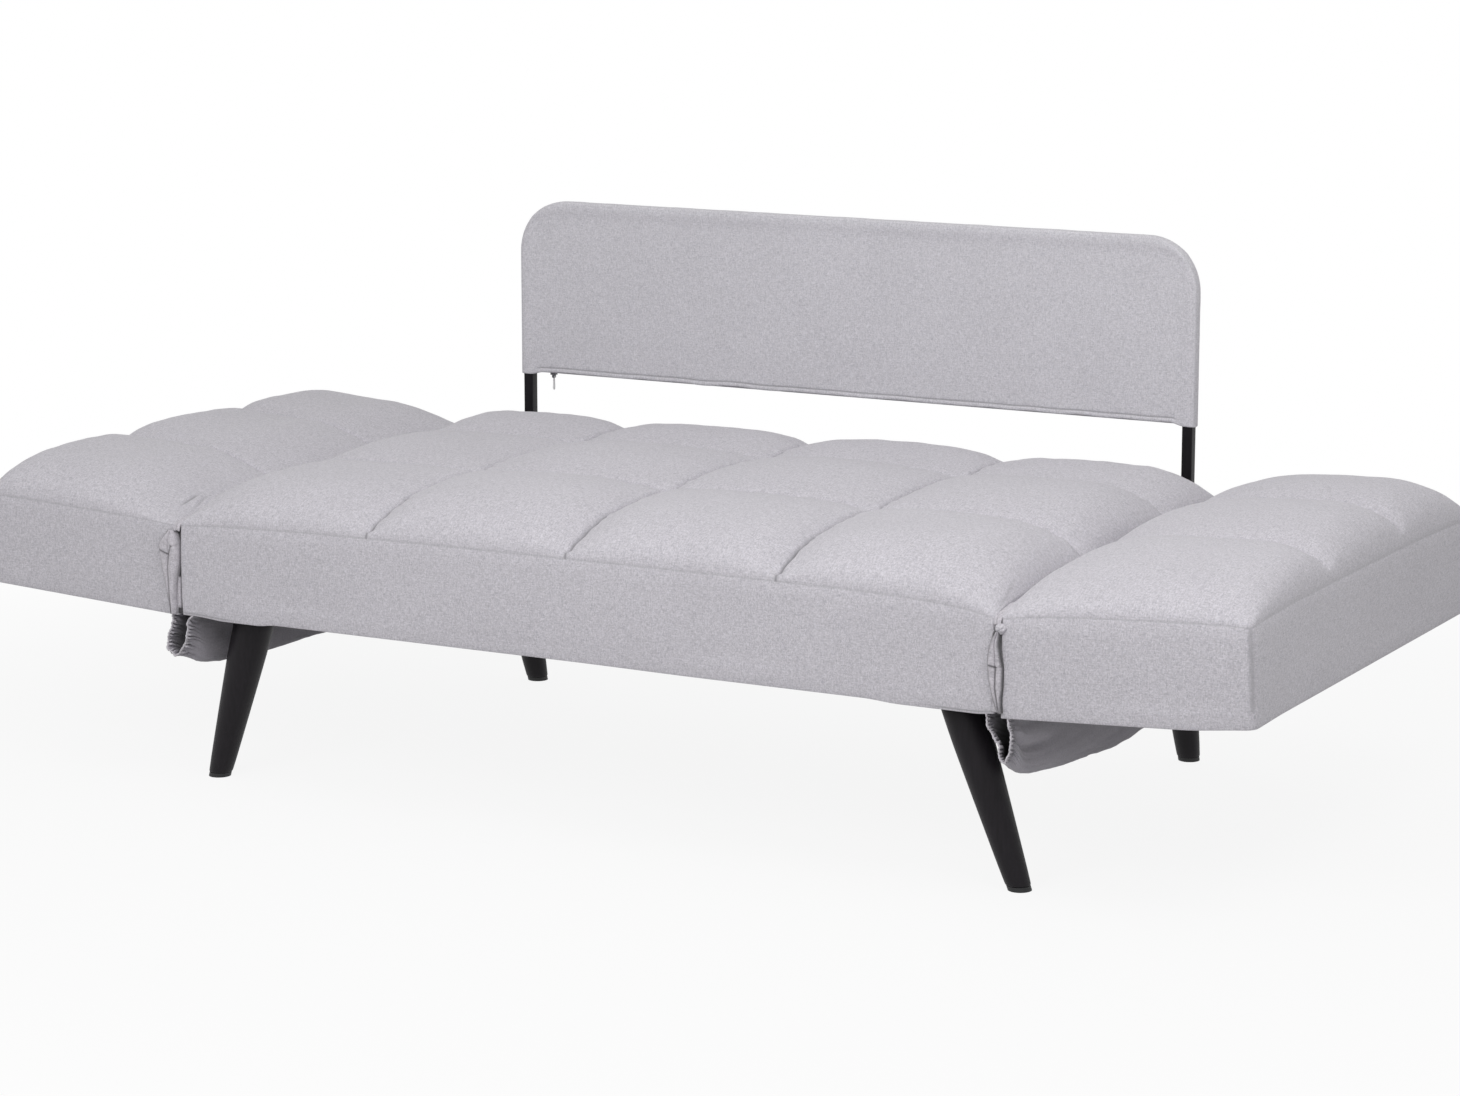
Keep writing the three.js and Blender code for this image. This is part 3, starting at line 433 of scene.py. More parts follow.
def sewn(x, y, to_column, to_row, seed):
    """The grooves of the seams with their crossings and short puckers, and how the pads
    swell unevenly"""
    groove = bell(to_row, GROOVE_HALF)
    pucker = wander(x, seed=seed + 1, size=PUCKER_PITCH) * fade(to_row, PUCKER_REACH)
    crossing = 0
    if to_column is not None:
        groove = np.maximum(groove, bell(to_column, GROOVE_HALF))
        pucker = pucker + wander(y, seed=seed + 2, size=PUCKER_PITCH) * fade(to_column, PUCKER_REACH)
        crossing = np.exp(-(to_row ** 2 + to_column ** 2) / CROSSING_REACH ** 2)
    uneven = 0.0008 * wander(x, y, seed=seed, size=0.15) + 0.0004 * wander(x, y, seed=seed + 3, size=0.045)
    return PUCKER_DEPTH * pucker + uneven - GROOVE_DEPTH * groove - CROSSING_DEPTH * crossing


def gathers(x, y, corner_x, reach, seed, count):
    """Fine creases that run out from a corner where the cloth is drawn together"""
    dy = y - (FRONT_Y + 0.004)
    r = np.hypot(x - corner_x, dy)
    angle = np.arctan2(dy, x - corner_x)
    rng = np.random.default_rng(seed)
    total = 0.0
    for _ in range(count):
        way = rng.uniform(-math.pi, math.pi)
        width = rng.uniform(0.0022, 0.0036)
        turn = np.abs(np.angle(np.exp(1j * (angle - way))))
        off = r * np.sin(np.clip(turn, 0, math.pi / 2))
        total = total - bell(off, width) * rng.uniform(0.5, 1.0)
    return 0.0016 * total * smoothstep(r / 0.012) * bell(r, reach)


def beside_line(x, y, ends):
    """Distance off a line between two points, and how much of a fold is left there"""
    (ax, ay), (bx, by) = ends
    length = math.hypot(bx - ax, by - ay)
    ux, uy = (bx - ax) / length, (by - ay) / length
    along = ((x - ax) * ux + (y - ay) * uy) / length
    return (x - ax) * uy - (y - ay) * ux, smoothstep(along / 0.3) * smoothstep((1 - along) / 0.3)


def fold_line(x, y, ends, width, depth):
    """A crease between two points with a ridge beside it, fading at both ends"""
    off, left = beside_line(x, y, ends)
    return depth * left * (0.6 * bell(off - width * 2.2, width * 1.4) - bell(off, width))


def towards_rear(y):
    return smoothstep((y + 0.33) / 0.50)


def seat_height(x, y):
    to_joint = HINGE_X - np.abs(x)
    past_end = to_joint - END_GAP
    to_column, to_row = nearest(x, COLUMN_SEAMS), nearest(y, ROW_SEAMS)
    domes = (pad_dome(x, COLUMN_SEAMS, -SEAT_END, SEAT_END, 2.3)
             * pad_dome(y, ROW_SEAMS, FRONT_Y, SEAT_REAR_Y, 2.2))
    row = pad_index(y, ROW_SEAMS)
    tufts = np.array(SEAT_TUFTS)[row] + np.array(PAD_CHANGES)[pad_index(x, COLUMN_SEAMS), row]
    to_front, to_rear = y - FRONT_Y, SEAT_REAR_Y - y
    edge = round_rise(to_front, EDGE_ROLL) * round_rise(to_rear, EDGE_ROLL)
    drawn_in = np.where(x < 0, 0.0110 * fade(past_end, 0.150),
                        0.0172 * fade(past_end, 0.068) * (1 - 0.75 * towards_rear(y)))
    lift = lift_over(y, SEAT_REAR_Y, SEAT_LIFT) + REAR_FILL * smoothstep((y - 0.10) / 0.15) + tufts * domes
    z = SEAT_SEAM - drawn_in + lift * edge * round_rise(to_joint, np.where(x < 0, *JOINT_ROLLS))
    for d in (to_front, to_rear):  # the columns' seams are drawn down towards the edges
        z -= 0.0085 * bell(to_column, 0.032) * smoothstep(d / 0.014) * np.exp(-(d / 0.12) ** 3)
    relief = sewn(x, y, to_column, to_row, 3)
    for side, _ in SIDES:
        relief += gathers(x, y, side * HINGE_X, 0.055, 40 + side, 7)
    relief += fold_line(x, y, SEAT_TUCK, TUCK_WIDTH, 0.0018) + fold_line(x, y, RIGHT_TUCK, TUCK_WIDTH, 0.0024)
    inner = smoothstep(to_front / RELIEF_START) * smoothstep(to_rear / RELIEF_START)
    return z + inner * smoothstep(past_end / JOINT_RELIEF_START) * relief


def arm_height(side):
    """The height of an arm's cover over (outward from the hinge line, y)"""
    arm = ARMS[side]

    def height(a, y):
        to_row = nearest(y, ROW_SEAMS)
        to_front, to_rear, to_end = y - FRONT_Y, ARM_REAR_Y - y, ARM_LENGTH - a
        past_end = a - END_GAP
        low, climb = arm["joint_seam"]
        seam = low + climb * (1 - fade(past_end, 0.050)) - 0.003 * fade(to_end, 0.030)
        away = 1 - fade(ARM_REAR_Y - np.abs(y), 0.090)
        seam = seam + smoothstep((a - 0.18) / 0.14) * away * 0.0075
        dome = pad_dome(y, ROW_SEAMS, FRONT_Y, ARM_REAR_Y, 2.2)
        lift = lift_over(y, ARM_REAR_Y, arm["lift"]) + np.array(arm["tufts"])[pad_index(y, ROW_SEAMS)] * dome
        edge = round_rise(to_front, EDGE_ROLL) * round_rise(to_rear, EDGE_ROLL)
        edge = edge * round_rise(to_end, *arm["end_roll"]) * round_rise(a, *arm["joint_roll"])
        z = seam + lift * edge
        z -= 0.0065 * bell(to_row, 0.024) * smoothstep(to_end / 0.010) * np.exp(-(to_end / 0.09) ** 3)
        relief = sewn(side * a, y, None, to_row, 20 + side) + gathers(a, y, 0.0, 0.050, 44 + side, 6)
        for ends in ARM_TUCKS if side < 0 else ():
            relief += fold_line(a, y, ends, 0.0018, 0.0014)
        inner = smoothstep(to_front / RELIEF_START) * smoothstep(to_rear / RELIEF_START)
        inner = inner * smoothstep(to_end / RELIEF_START) * smoothstep(past_end / JOINT_RELIEF_START)
        return z + inner * relief

    return height


def round_corners(x, y, box, radii):
    """Draws the corner squares of a rectangular grid in to quarter discs"""
    x0, x1, y0, y1 = box
    x, y = x.copy(), y.copy()
    for end_x, sx, r in ((x0, -1, radii[0]), (x1, 1, radii[1])):
        if not r:
            continue
        for end_y, sy in ((y0, -1), (y1, 1)):
            a = (x - (end_x - sx * r)) * sx
            b = (y - (end_y - sy * r)) * sy
            inside = (a > 0) & (b > 0)
            a, b = np.clip(a / r, 0, 1), np.clip(b / r, 0, 1)
            new_x = end_x - sx * r + sx * r * a * np.sqrt(1 - b * b / 2)
            new_y = end_y - sy * r + sy * r * b * np.sqrt(1 - a * a / 2)
            x = np.where(inside, new_x, x)
            y = np.where(inside, new_y, y)
    return x, y


def rim_of(nx, ny):
    """Places round the edge of a grid, in order"""
    rim = [(i, 0) for i in range(nx - 1)] + [(nx - 1, j) for j in range(ny - 1)]
    return rim + [(i, ny - 1) for i in range(nx - 1, 0, -1)] + [(0, j) for j in range(ny - 1, 0, -1)]


def facing(rim, rounded, box, radii, nx, ny):
    """The way that the side wall faces at each place of the rim"""
    x0, x1, y0, y1 = box
    out = np.zeros((len(rim), 2))
    for k, (i, j) in enumerate(rim):
        x, y = rounded[k]
        for end_x, sx, r in ((x0, -1, radii[0]), (x1, 1, radii[1])):
            for end_y, sy in ((y0, -1), (y1, 1)):
                dx, dy = (x - (end_x - sx * r)) * sx, (y - (end_y - sy * r)) * sy
                if r and dx > 1e-7 and dy > 1e-7:
                    out[k] = (sx * dx, sy * dy)
        if not out[k].any():
            if j in (0, ny - 1) and not (i in (0, nx - 1) and radii[int(i > 0)]):
                out[k] = (0, 1 if j else -1)
            else:
                out[k] = ((i == nx - 1) * 1.0 - (i == 0), (j == ny - 1) * 1.0 - (j == 0))
        out[k] /= np.linalg.norm(out[k])
    return out


def painted_seam_shade(gx, gy, columns, edge_distance, tucks):
    """Painted shade on a cover's top: dark lines in the seams, stronger at the front, and in the tucks"""
    painted_shade = 0.62 * bell(nearest(gy, ROW_SEAMS), SEAM_LINE) * np.clip(edge_distance / 0.02, 0.2, 1)
    at_front = smoothstep((FRONT_Y + 0.16 - gy) / 0.08)
    by_column = (0.62 + 0.38 * at_front) * bell(nearest(gx, columns), SEAM_LINE + 0.0007 * at_front)
    painted_shade = np.maximum(painted_shade, by_column * np.clip((SEAT_REAR_Y - gy) / 0.02, 0.2, 1))
    for ends, weight in tucks:
        off, left = beside_line(gx, gy, ends)
        painted_shade = np.maximum(painted_shade, weight * bell(off, 0.0010) * left)
    return painted_shade


CORNER_RADII = {"free": 0.012, "joint": 0.0030, "cut": 0}
WALL_HEIGHT = 0.1220
# where the wall has a ring of points, down from the edge seam of a wall of that height
WALL_RINGS = (0.0010, 0.0022, 0.0040, 0.007, 0.012, 0.020, 0.031, 0.043, 0.055, 0.067, 0.079, 0.090,
              0.099)
HEM_STEPS = 12  # rings round the wall's lower edge
FRAME_Z = UNDERSIDE - HINGE_Z - 0.0001  # the cover's flat underside
SEAM_SHADE = 0.38  # dark line along the edge seam


def swell(d):
    """How the top's edges stand out a little beyond the edge seam"""
    return 0.0010 * (d / 0.010) * np.exp(1 - d / 0.010)


def wall_rings(top, rounded, out, plain, box, ends, seed, sag, lean):
    """The rings of a cover's side wall from the edge seam down and under, each with the
    shade painted on it, and the shade painted on the seam. Walls at a joint are flat and
    painted dark with the shade of the gap, and the others swell."""
    x0, x1, y0, y1 = box
    free = np.ones(len(top))
    for sign, end in zip((-1, 1), ends):
        if end != "free":
            free = np.minimum(free, 1 - np.clip(out[:, 0] * sign, 0, 1))
    from_ends = np.minimum(plain[:, 1] - y0, y1 - plain[:, 1])
    # painted shade of the gap on the walls at a joint
    in_gap = 0.9 * (1 - free) * ("joint" in ends) * smoothstep(from_ends / 0.004)
    hemmed = smoothstep((np.abs(plain[:, 0]) - 0.50) / 0.03) * free * ("cut" in ends)
    # painted shade line down the seam at an arm's outer corner
    corner = np.clip(10 * np.abs(out[:, 0] * out[:, 1]) - 4, 0, 1) * ("free" in ends) * (free > 0.9)
    at_joint = lean * smoothstep(1 - (plain[:, 0] - x0) / 0.030)
    bottom = FRAME_Z - sag(plain[:, 0], plain[:, 1])
    wall_top = top[:, 2]
    wall = wall_top - bottom

    def ring_at(proud, z):
        ring = top.copy()
        ring[:, :2] = rounded + out * (proud * free)[:, None]
        ring[:, 2] = z
        ring[:, 0] += at_joint * (z - wall_top)
        return ring

    rings = []
    for share in np.array(WALL_RINGS) / WALL_HEIGHT:
        down = wall * share
        z = wall_top - down
        slack = wander(rounded[:, 0], rounded[:, 1], z, seed=seed + 5, size=0.20)
        proud = 0.0008 + 0.0014 * smoothstep(down / 0.014) + 0.0008 * np.sin(math.pi * share)
        proud += 0.0007 * slack * smoothstep(down / 0.02) * smoothstep((1 - share) / 0.2)
        proud -= 0.0005 * bell(down, 0.0014)
        shade = np.maximum(SEAM_SHADE * bell(share * WALL_HEIGHT, 0.0010) * free, 0.5 * corner)
        rings.append((ring_at(proud, z), np.maximum(shade, in_gap * smoothstep((down - 0.002) / 0.006))))
    low = wall * (1 - WALL_RINGS[-1] / WALL_HEIGHT)
    for angle in np.linspace(0, math.pi / 2, HEM_STEPS + 1)[1:]:
        up = low * (1 - math.sin(angle))
        # painted shade line above the hem's roll, near the seat's ends
        hem = 0.8 * bell(up - 0.0034, 0.0010) * hemmed
        rings.append((ring_at(0.0024 * math.cos(angle) + 0.0004, bottom + up), np.maximum(0.9 * in_gap, hem)))
    for inward in (0.004, 0.013):
        ring = rings[-1][0].copy()
        ring[:, :2] = rounded - out * (inward * free)[:, None]
        ring[:, 0] += at_joint * (ring[:, 2] - wall_top)
        rings.append((ring, np.zeros(len(top))))
    ring[:, 2] = FRAME_Z
    return rings, SEAM_SHADE * free


def make_cover(name, replaced, xs, ys, height, place, ends, seed, sag, lean=0.0, tucks=()):
    """A cover over a row of pads, with its side walls. ends says what its low and high x
    ends are: a free wall, a flat wall at a joint, or a cut where the next piece goes on."""
    nx, ny = len(xs), len(ys)
    box = x0, x1, y0, y1 = xs[0], xs[-1], ys[0], ys[-1]
    radii = [CORNER_RADII[end] for end in ends]
    gx, gy = np.meshgrid(xs, ys, indexing="ij")
    rounded_x, rounded_y = round_corners(gx, gy, box, radii)
    px, py = rounded_x, rounded_y - swell(gy - y0) + swell(y1 - gy)
    edge_distance = np.minimum(gy - y0, y1 - gy)
    for end, sign, d in zip(ends, (-1, 1), (gx - x0, x1 - gx)):
        if end == "free":
            px = px + sign * swell(d)
            edge_distance = np.minimum(edge_distance, d)
    columns = [c for c in COLUMN_SEAMS if "cut" in ends and x0 - 1e-6 <= c <= x1 + 1e-6]
    # painted shade in the top's seams and tucks, and along the edge seam on the rim
    painted_shade = painted_seam_shade(gx, gy, columns, edge_distance, tucks).ravel()
    points = [np.stack([px, py, height(gx, gy)], -1).reshape(-1, 3)]
    faces = grid_faces(nx, ny)

    rim = rim_of(nx, ny)
    at = np.array([i * ny + j for i, j in rim])
    plain = np.stack([gx, gy], -1).reshape(-1, 2)[at]
    rounded = np.stack([rounded_x, rounded_y], -1).reshape(-1, 2)[at]
    out = facing(rim, rounded, box, radii, nx, ny)
    rings, rim_painted_shade = wall_rings(points[0][at], rounded, out, plain, box, ends, seed, sag, lean)
    painted_shade[at] = np.maximum(painted_shade[at], rim_painted_shade)
    painted_shades = [painted_shade]
    on_cut = np.zeros(len(rim), bool)
    for end, end_x in zip(ends, (x0, x1)):
        if end == "cut":
            on_cut |= np.abs(plain[:, 0] - end_x) < 1e-9
    previous, count, cut_faces = at, nx * ny, set()
    for ring, shade in rings:
        points.append(ring)
        painted_shades.append(shade)
        now = np.arange(count, count + len(rim))
        count += len(rim)
        cut_faces.update(len(faces) + k for k in range(len(rim)) if on_cut[k] and on_cut[(k + 1) % len(rim)])
        faces += band_faces(previous, now, closed=True)
        previous = now
    faces.append(tuple(int(v) for v in previous))
    placed = np.concatenate(points) @ np.array(place.to_3x3()).T + np.array(place.translation)
    obj = make_mesh(name, placed, faces, [COVER], painted_shade=np.concatenate(painted_shades))

    def keep_cut_sharp(bm):
        bm.faces.ensure_lookup_table()
        for k in cut_faces:
            for edge in bm.faces[k].edges:
                if any(face.index not in cut_faces for face in edge.link_faces):
                    edge.smooth = False

    if cut_faces:
        edit_mesh(obj.data, keep_cut_sharp)
    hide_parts(replaced)
    return obj


def arm_frame(side):
    turn = Matrix.Identity(4) if side > 0 else Matrix.Rotation(math.pi, 4, "Z")
    tilt = Matrix.Rotation(-side * ARM_TILT, 4, "Y")
    return Matrix.Translation((side * HINGE_X, 0, HINGE_Z)) @ tilt @ turn


EDGE_LINES = (0.00025, 0.0006, 0.0012, 0.0021, 0.0034, 0.0052, 0.0076, 0.0108)
EDGE_LINES_END = 0.0135


def fine_edges(start, end, seams, fine_start=True, fine_end=True):
    """Grid lines, very close where a rounded edge begins and close beside the seams"""
    lines = list(graded(start, end, seams, finest=0.0011, coarsest=0.0090, growth=0.13))
    if fine_start:
        lines = [start, *(start + d for d in EDGE_LINES), *(v for v in lines if v > start + EDGE_LINES_END)]
    if fine_end:
        lines = [*(v for v in lines if v < end - EDGE_LINES_END), *(end - d for d in EDGE_LINES[::-1]), end]
    return np.array(lines)


def closer(lines, low, high, pitch=0.0015):
    """More grid lines between low and high"""
    inside = np.arange(low, high, pitch)
    return np.sort(np.concatenate([lines[(lines < low - pitch / 2) | (lines > high)], inside]))


def seat_sag(x, y):
    """How far the front wall's lower edge hangs below the frame"""
    near_front = smoothstep(1 - (y - FRONT_Y) / 0.08)
    right = smoothstep((x - 0.42) / 0.05) * smoothstep((HINGE_X - x) / 0.03)
    left = smoothstep((x + 0.575) / 0.05) * smoothstep((-0.445 - x) / 0.03)
    return near_front * (0.0012 * smoothstep(x / 0.2) + 0.0026 * right + 0.0030 * left)


def arm_sag(side):
    def sag(a, y):
        near_front = smoothstep(1 - (y * side - FRONT_Y) / 0.10)
        if side < 0:
            return near_front * 0.0012
        return near_front * (0.0015 + 0.0045 * smoothstep((0.325 - a) / 0.10))

    return sag


def half_turned(height):
    """The left arm's frame is turned half round, so its y runs the other way"""
    return lambda a, y: height(a, -y)


def from_hinge(side, outward, up=0.0):
    """A place outward from a hinge line and above it"""
    return (side * (HINGE_X + outward), 0, HINGE_Z + up)


def make_seat_covers():
    """The middle two columns, and at each end the column that rounds down into the joint"""
    at_hinge = Matrix.Translation((0, 0, HINGE_Z))
    left_seam, middle_seam, right_seam = COLUMN_SEAMS
    ys = fine_edges(FRONT_Y, SEAT_REAR_Y, ROW_SEAMS)
    xs = fine_edges(left_seam, right_seam, (middle_seam,), False, False)
    middle = make_cover("seat_cover", "seat_cushion", xs, ys, seat_height, at_hinge, ("cut", "cut"), 3,
                        seat_sag)
    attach(middle, "base")
    for side, name in SIDES:
        xs = fine_edges(right_seam, SEAT_END, (), False, True)
        ends, tucks = ("cut", "joint"), ()
        if side < 0:
            xs, ends = -xs[::-1], ends[::-1]
        else:
            xs, tucks = closer(xs, 0.580, 0.5925), [(RIGHT_TUCK, 0.5)]
        piece = make_cover(f"seat_cover_{name}", "seat_cushion", xs, ys, seat_height, at_hinge, ends, 3,
                           seat_sag, 0.0, tucks)
        from_hinge(side, -0.008, -0.006)
        from_hinge(side, 0.028, 0.021)
        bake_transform(piece)


def make_arm_covers():
    for side, name in SIDES:
        xs, ys = fine_edges(END_GAP, ARM_LENGTH, ()), fine_edges(FRONT_Y, ARM_REAR_Y, ROW_SEAMS)
        height, tucks = arm_height(side), ()
        if side < 0:
            xs, ys = closer(xs, 0.0150, 0.0420, 0.0012), closer(ys, -0.3700, -0.2800)
            ys, height = -ys[::-1], half_turned(height)
            tucks = [([(a, -y) for a, y in ends], weight) for ends, weight in zip(ARM_TUCKS, (1.0, 0.45))]
        piece = make_cover(f"{name}_arm_cover", f"{name}_arm_cushion", xs, ys, height, arm_frame(side),
                           ("joint", "free"), 20 + side, arm_sag(side), math.tan(ARM_TILT), tucks)
        from_hinge(side, -0.028, 0.021)
        from_hinge(side, 0.008, -0.006)
        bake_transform(piece)


make_seat_covers()
make_arm_covers()


# Cloth in the joints
def sheet_normals(surface):
    normal = np.cross(np.gradient(surface, axis=0), np.gradient(surface, axis=1))
    return normal / np.maximum(np.linalg.norm(normal, axis=2, keepdims=True), 1e-12)


def thick_sheet(name, surface, thickness, materials, painted_shade, inner_painted_shade=None, bound_rows=0):
    """A closed sheet about a grid of points, thickness metres thick. Its first and last
    bound_rows rows take the second material, and its second side can take painted shade of its own."""
    rows, columns = surface.shape[:2]
    count = rows * columns
    half = np.broadcast_to(np.asarray(thickness) / 2, (rows, columns))[:, :, None]
    offset = sheet_normals(surface) * half
    points = np.concatenate([(surface + offset).reshape(-1, 3), (surface - offset).reshape(-1, 3)])
    edge = np.array([i * columns + j for i, j in rim_of(rows, columns)])
    faces = grid_faces(rows, columns) + grid_faces(rows, columns, first=count)
    faces += band_faces(edge, edge + count, closed=True)
    inner = painted_shade if inner_painted_shade is None else inner_painted_shade
    obj = make_mesh(name, points, faces, materials, painted_shade=np.concatenate([painted_shade.ravel(), inner.ravel()]))
    if bound_rows:
        for face in obj.data.polygons:
            row = np.mean([(v % count) // columns for v in face.vertices])
            if row < bound_rows or row > rows - 1 - bound_rows:
                face.material_index = 1
    return obj


VALLEY_HALF = 0.0049


def make_valley(side, name):
    """The strip of cloth that bridges the two covers over the hinge line and turns down
    into the gap at the front and at the rear"""
    ys = np.linspace(FRONT_Y + 0.007, SEAT_REAR_Y - 0.007, 150)
    edge = round_rise(ys - FRONT_Y, EDGE_ROLL) * round_rise(SEAT_REAR_Y - ys, EDGE_ROLL)
    rise = ARMS[side]["joint_seam"][0] + (side > 0) * 0.0040 * towards_rear(ys)
    top = HINGE_Z + 0.0002 + rise + 0.0126 * edge + 0.0004 * wander(ys, seed=7 + side, size=0.03)
    turn = np.linspace(0, 1, 12)[:-1] * math.pi / 2
    out, drop = 0.0100 * np.cos(turn) ** 0.8, 0.010 * (1 - np.sin(turn)) + 0.0007
    line_y = np.concatenate([ys[0] - out, ys, (ys[-1] + out)[::-1]])
    line_z = np.concatenate([top[0] - drop, top, (top[-1] - drop)[::-1]])
    gy, gt = np.meshgrid(line_y, np.linspace(-1, 1, 15), indexing="ij")
    near_end = bell(np.minimum(gy - FRONT_Y + 0.004, SEAT_REAR_Y + 0.004 - gy), 0.012)
    wave = 5.5 * gt + 60 * gy
    gz = line_z[:, None] - 0.0008 * np.abs(gt) ** 3 + near_end * 0.0006 * np.sin(wave)
    surface = np.stack([side * HINGE_X + VALLEY_HALF * gt, gy, gz], -1)
    # painted shade in the small folds near the ends
    painted_shade = 0.35 * near_end * np.clip(np.sin(wave + 1.2), 0, 1) ** 4
    obj = thick_sheet(f"{name}_joint_valley", surface, 0.0012, [FOLDS], painted_shade)
    from_hinge(side, -VALLEY_HALF)
    from_hinge(side, VALLEY_HALF)
    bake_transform(obj)


def run_along(points):
    """Distance run along a line at each of its points"""
    return np.concatenate([[0], np.cumsum(np.linalg.norm(np.diff(points, axis=0), axis=1))])


def at_runs(runs, run, points):
    return np.stack([np.interp(runs, run, values) for values in points.T], -1)


def along(points, shares, soften=20):
    """Points at shares of the way along a smooth line through points. A larger soften
    rounds the corners more."""
    points = np.array(points)
    run = run_along(points)
    dense = at_runs(np.linspace(0, run[-1], 400), run, points)
    kernel = np.hanning(2 * soften + 1)
    kernel /= kernel.sum()
    before, beyond = 2 * dense[0] - dense[soften:0:-1], 2 * dense[-1] - dense[-2:-2 - soften:-1]
    padded = np.concatenate([before, dense, beyond])
    smooth = np.stack([np.convolve(values, kernel, "valid") for values in padded.T], 1)
    run = run_along(smooth)
    return at_runs(shares * run[-1], run, smooth)


# Rims of the gathered mouths as (outward from the hinge line, height), from the top down
MOUTHS = {
    ("left", "seat"): [(-0.021, 0.2372), (-0.012, 0.2290), (-0.010, 0.2050), (0.001, 0.1850),
                       (0.010, 0.1790)],
    ("left", "arm"): [(0.011, 0.2400), (0.0125, 0.2260), (0.0215, 0.2010), (0.0225, 0.1890), (0.010, 0.1790)],
    ("right", "seat"): [(-0.0148, 0.2372), (-0.0138, 0.2230), (-0.0060, 0.2080), (0.0035, 0.1970),
                        (0.0020, 0.1860), (0.0065, 0.1780), (0.0105, 0.1760)],
    ("right", "arm"): [(0.0110, 0.2390), (0.0155, 0.2220), (0.0185, 0.2060), (0.0160, 0.1890),
                       (0.0105, 0.1760)],
}
LOOP_DEPTHS = {"left": (0.066, 0.078, 0.084, 0.086), "right": (0.067, 0.090, 0.103, 0.111)}
DEPTHS_AT = (0.0, 0.075, 0.18, 0.34)  # how far in from a mouth the loop has these depths
LOOP_TOP = 0.2385
LOOP_LINES = (0, 0.0007, 0.0016, 0.0028, 0.0045, 0.0065, 0.009, 0.012, 0.016, 0.021, 0.027, 0.034, 0.043,
              0.054, 0.067, 0.082, 0.100, 0.120, 0.142)
GATHER_PITCH = 0.0058


def loop_surface(name, half, ys, shares, d):
    """A loop without its gathers: the mouths' rims at both ends and a smooth form between"""
    mouth = along(MOUTHS[name, half], shares)
    belly = (0.0175 - 0.002 * shares) * np.sin(math.pi * shares) ** 0.8 * (0.45 + 0.62 * shares)
    out = (-1 if half == "seat" else 1) * (0.0036 * (1 - shares) + belly)
    out = out + 0.004 * shares * (1 if name == "right" else 0.5)
    depth = np.interp(d, DEPTHS_AT, LOOP_DEPTHS[name])
    z = LOOP_TOP - (depth + 0.0015) * np.sin(math.pi / 2 * shares) ** 1.15
    inside = smoothstep(d / 0.050)
    gy = np.broadcast_to(ys[:, None], z.shape)
    return np.stack([mouth[:, 0] * (1 - inside) + out * inside, gy,
                     mouth[:, 1] * (1 - inside) + z * inside], -1)


def make_loop_half(side, name, half):
    """Half of the loop that hangs under a joint, from its top edge to its lowest line"""
    front, rear = FRONT_Y - 0.001, SEAT_REAR_Y - 0.001
    inward, middle = np.array(LOOP_LINES), np.linspace(front + 0.165, rear - 0.165, 22)
    ys = np.concatenate([front + inward, middle, (rear - inward)[::-1]])
    shares = np.linspace(0, 1, 88)
    d = np.minimum(ys - front, rear - ys)[:, None]
    surface = loop_surface(name, half, ys, shares, d)
    # gathers at the mouths and long soft folds between them
    run, gy = shares * 0.085, surface[:, :, 1]
    which = (gy > 0) * 1.0
    phase = 2 * math.pi * run / GATHER_PITCH + 2.4 * wander(run + which, d, seed=60 + side, size=0.03)
    ruffle = np.sin(phase + which)
    uneven = 0.75 + 0.5 * wander(run + which, seed=90 + side, size=0.014)
    ruffle = np.sign(ruffle) * np.abs(ruffle) ** 0.8 * uneven
    amount = 0.0033 * smoothstep((d - 0.0022) / 0.0035) * bell(d, 0.0165) + 0.00045 * fade(d, 0.05)
    ends = smoothstep(shares / 0.10) * smoothstep((1 - shares) / 0.06)
    folds = 0.0016 * wander(gy, 1.6 * run, seed=64 + side, size=0.11) * smoothstep(d / 0.05)
    folds = folds + 0.0007 * wander(gy, 2.5 * run, seed=70 + side, size=0.035) * smoothstep(d / 0.02)
    if (name, half) == ("right", "arm"):
        reach = smoothstep((d - 0.006) / 0.02) * smoothstep((0.150 - d) / 0.08) * (gy < 0)
        level = shares + 0.25 * d
        folds = folds + 0.0040 * reach * (bell(level - 0.46, 0.055) - bell(level - 0.33, 0.075))
    push = (ruffle * amount + folds) * ends
    surface = surface + sheet_normals(surface) * push[:, :, None]
    surface[:, :, 1] += 0.0011 * wander(run, seed=77 + side, size=0.02) * fade(d, 0.008) * ends
    surface[:, :, 0] = side * (HINGE_X + surface[:, :, 0])
    # the rims are bound in a round tape; painted shade darkens the furrows between the gathers, the top of
    # the loop and its inside
    bead = np.sqrt(np.clip(1 - ((d - 0.0014) / 0.0016) ** 2, 0, 1))
    furrow = np.clip(-ruffle, 0, 1) ** 1.1 * smoothstep((d - 0.0028) / 0.0015) * bell(d, 0.015) * ends
    under_seat = 0.35 * smoothstep((0.20 - shares) / 0.2) * smoothstep(d / 0.02)
    inner = np.maximum(furrow, 0.85 * smoothstep((d - 0.006) / 0.022))
    obj = thick_sheet(f"{name}_gusset_{half}_side", surface, 0.0011 + 0.0010 * bead, [LOOP, BINDING],
                      np.maximum(furrow, under_seat), inner, bound_rows=4)
    # the inner shade belongs on the side that faces the middle of the loop
    to_middle = np.abs([v.co.x - side * (HINGE_X + 0.010) for v in obj.data.vertices]).reshape(2, -1)
    if to_middle[0].mean() < to_middle[1].mean():
        layer = obj.data.attributes["painted_shade"].data
        values = np.zeros(len(layer), np.float32)
        layer.foreach_get("value", values)
        layer.foreach_set("value", np.roll(values, len(values) // 2))
    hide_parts(f"{name}_gusset")
    if half == "seat":
        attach(obj, "base")
    else:
        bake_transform(obj)


LEAF_COLUMNS = 96
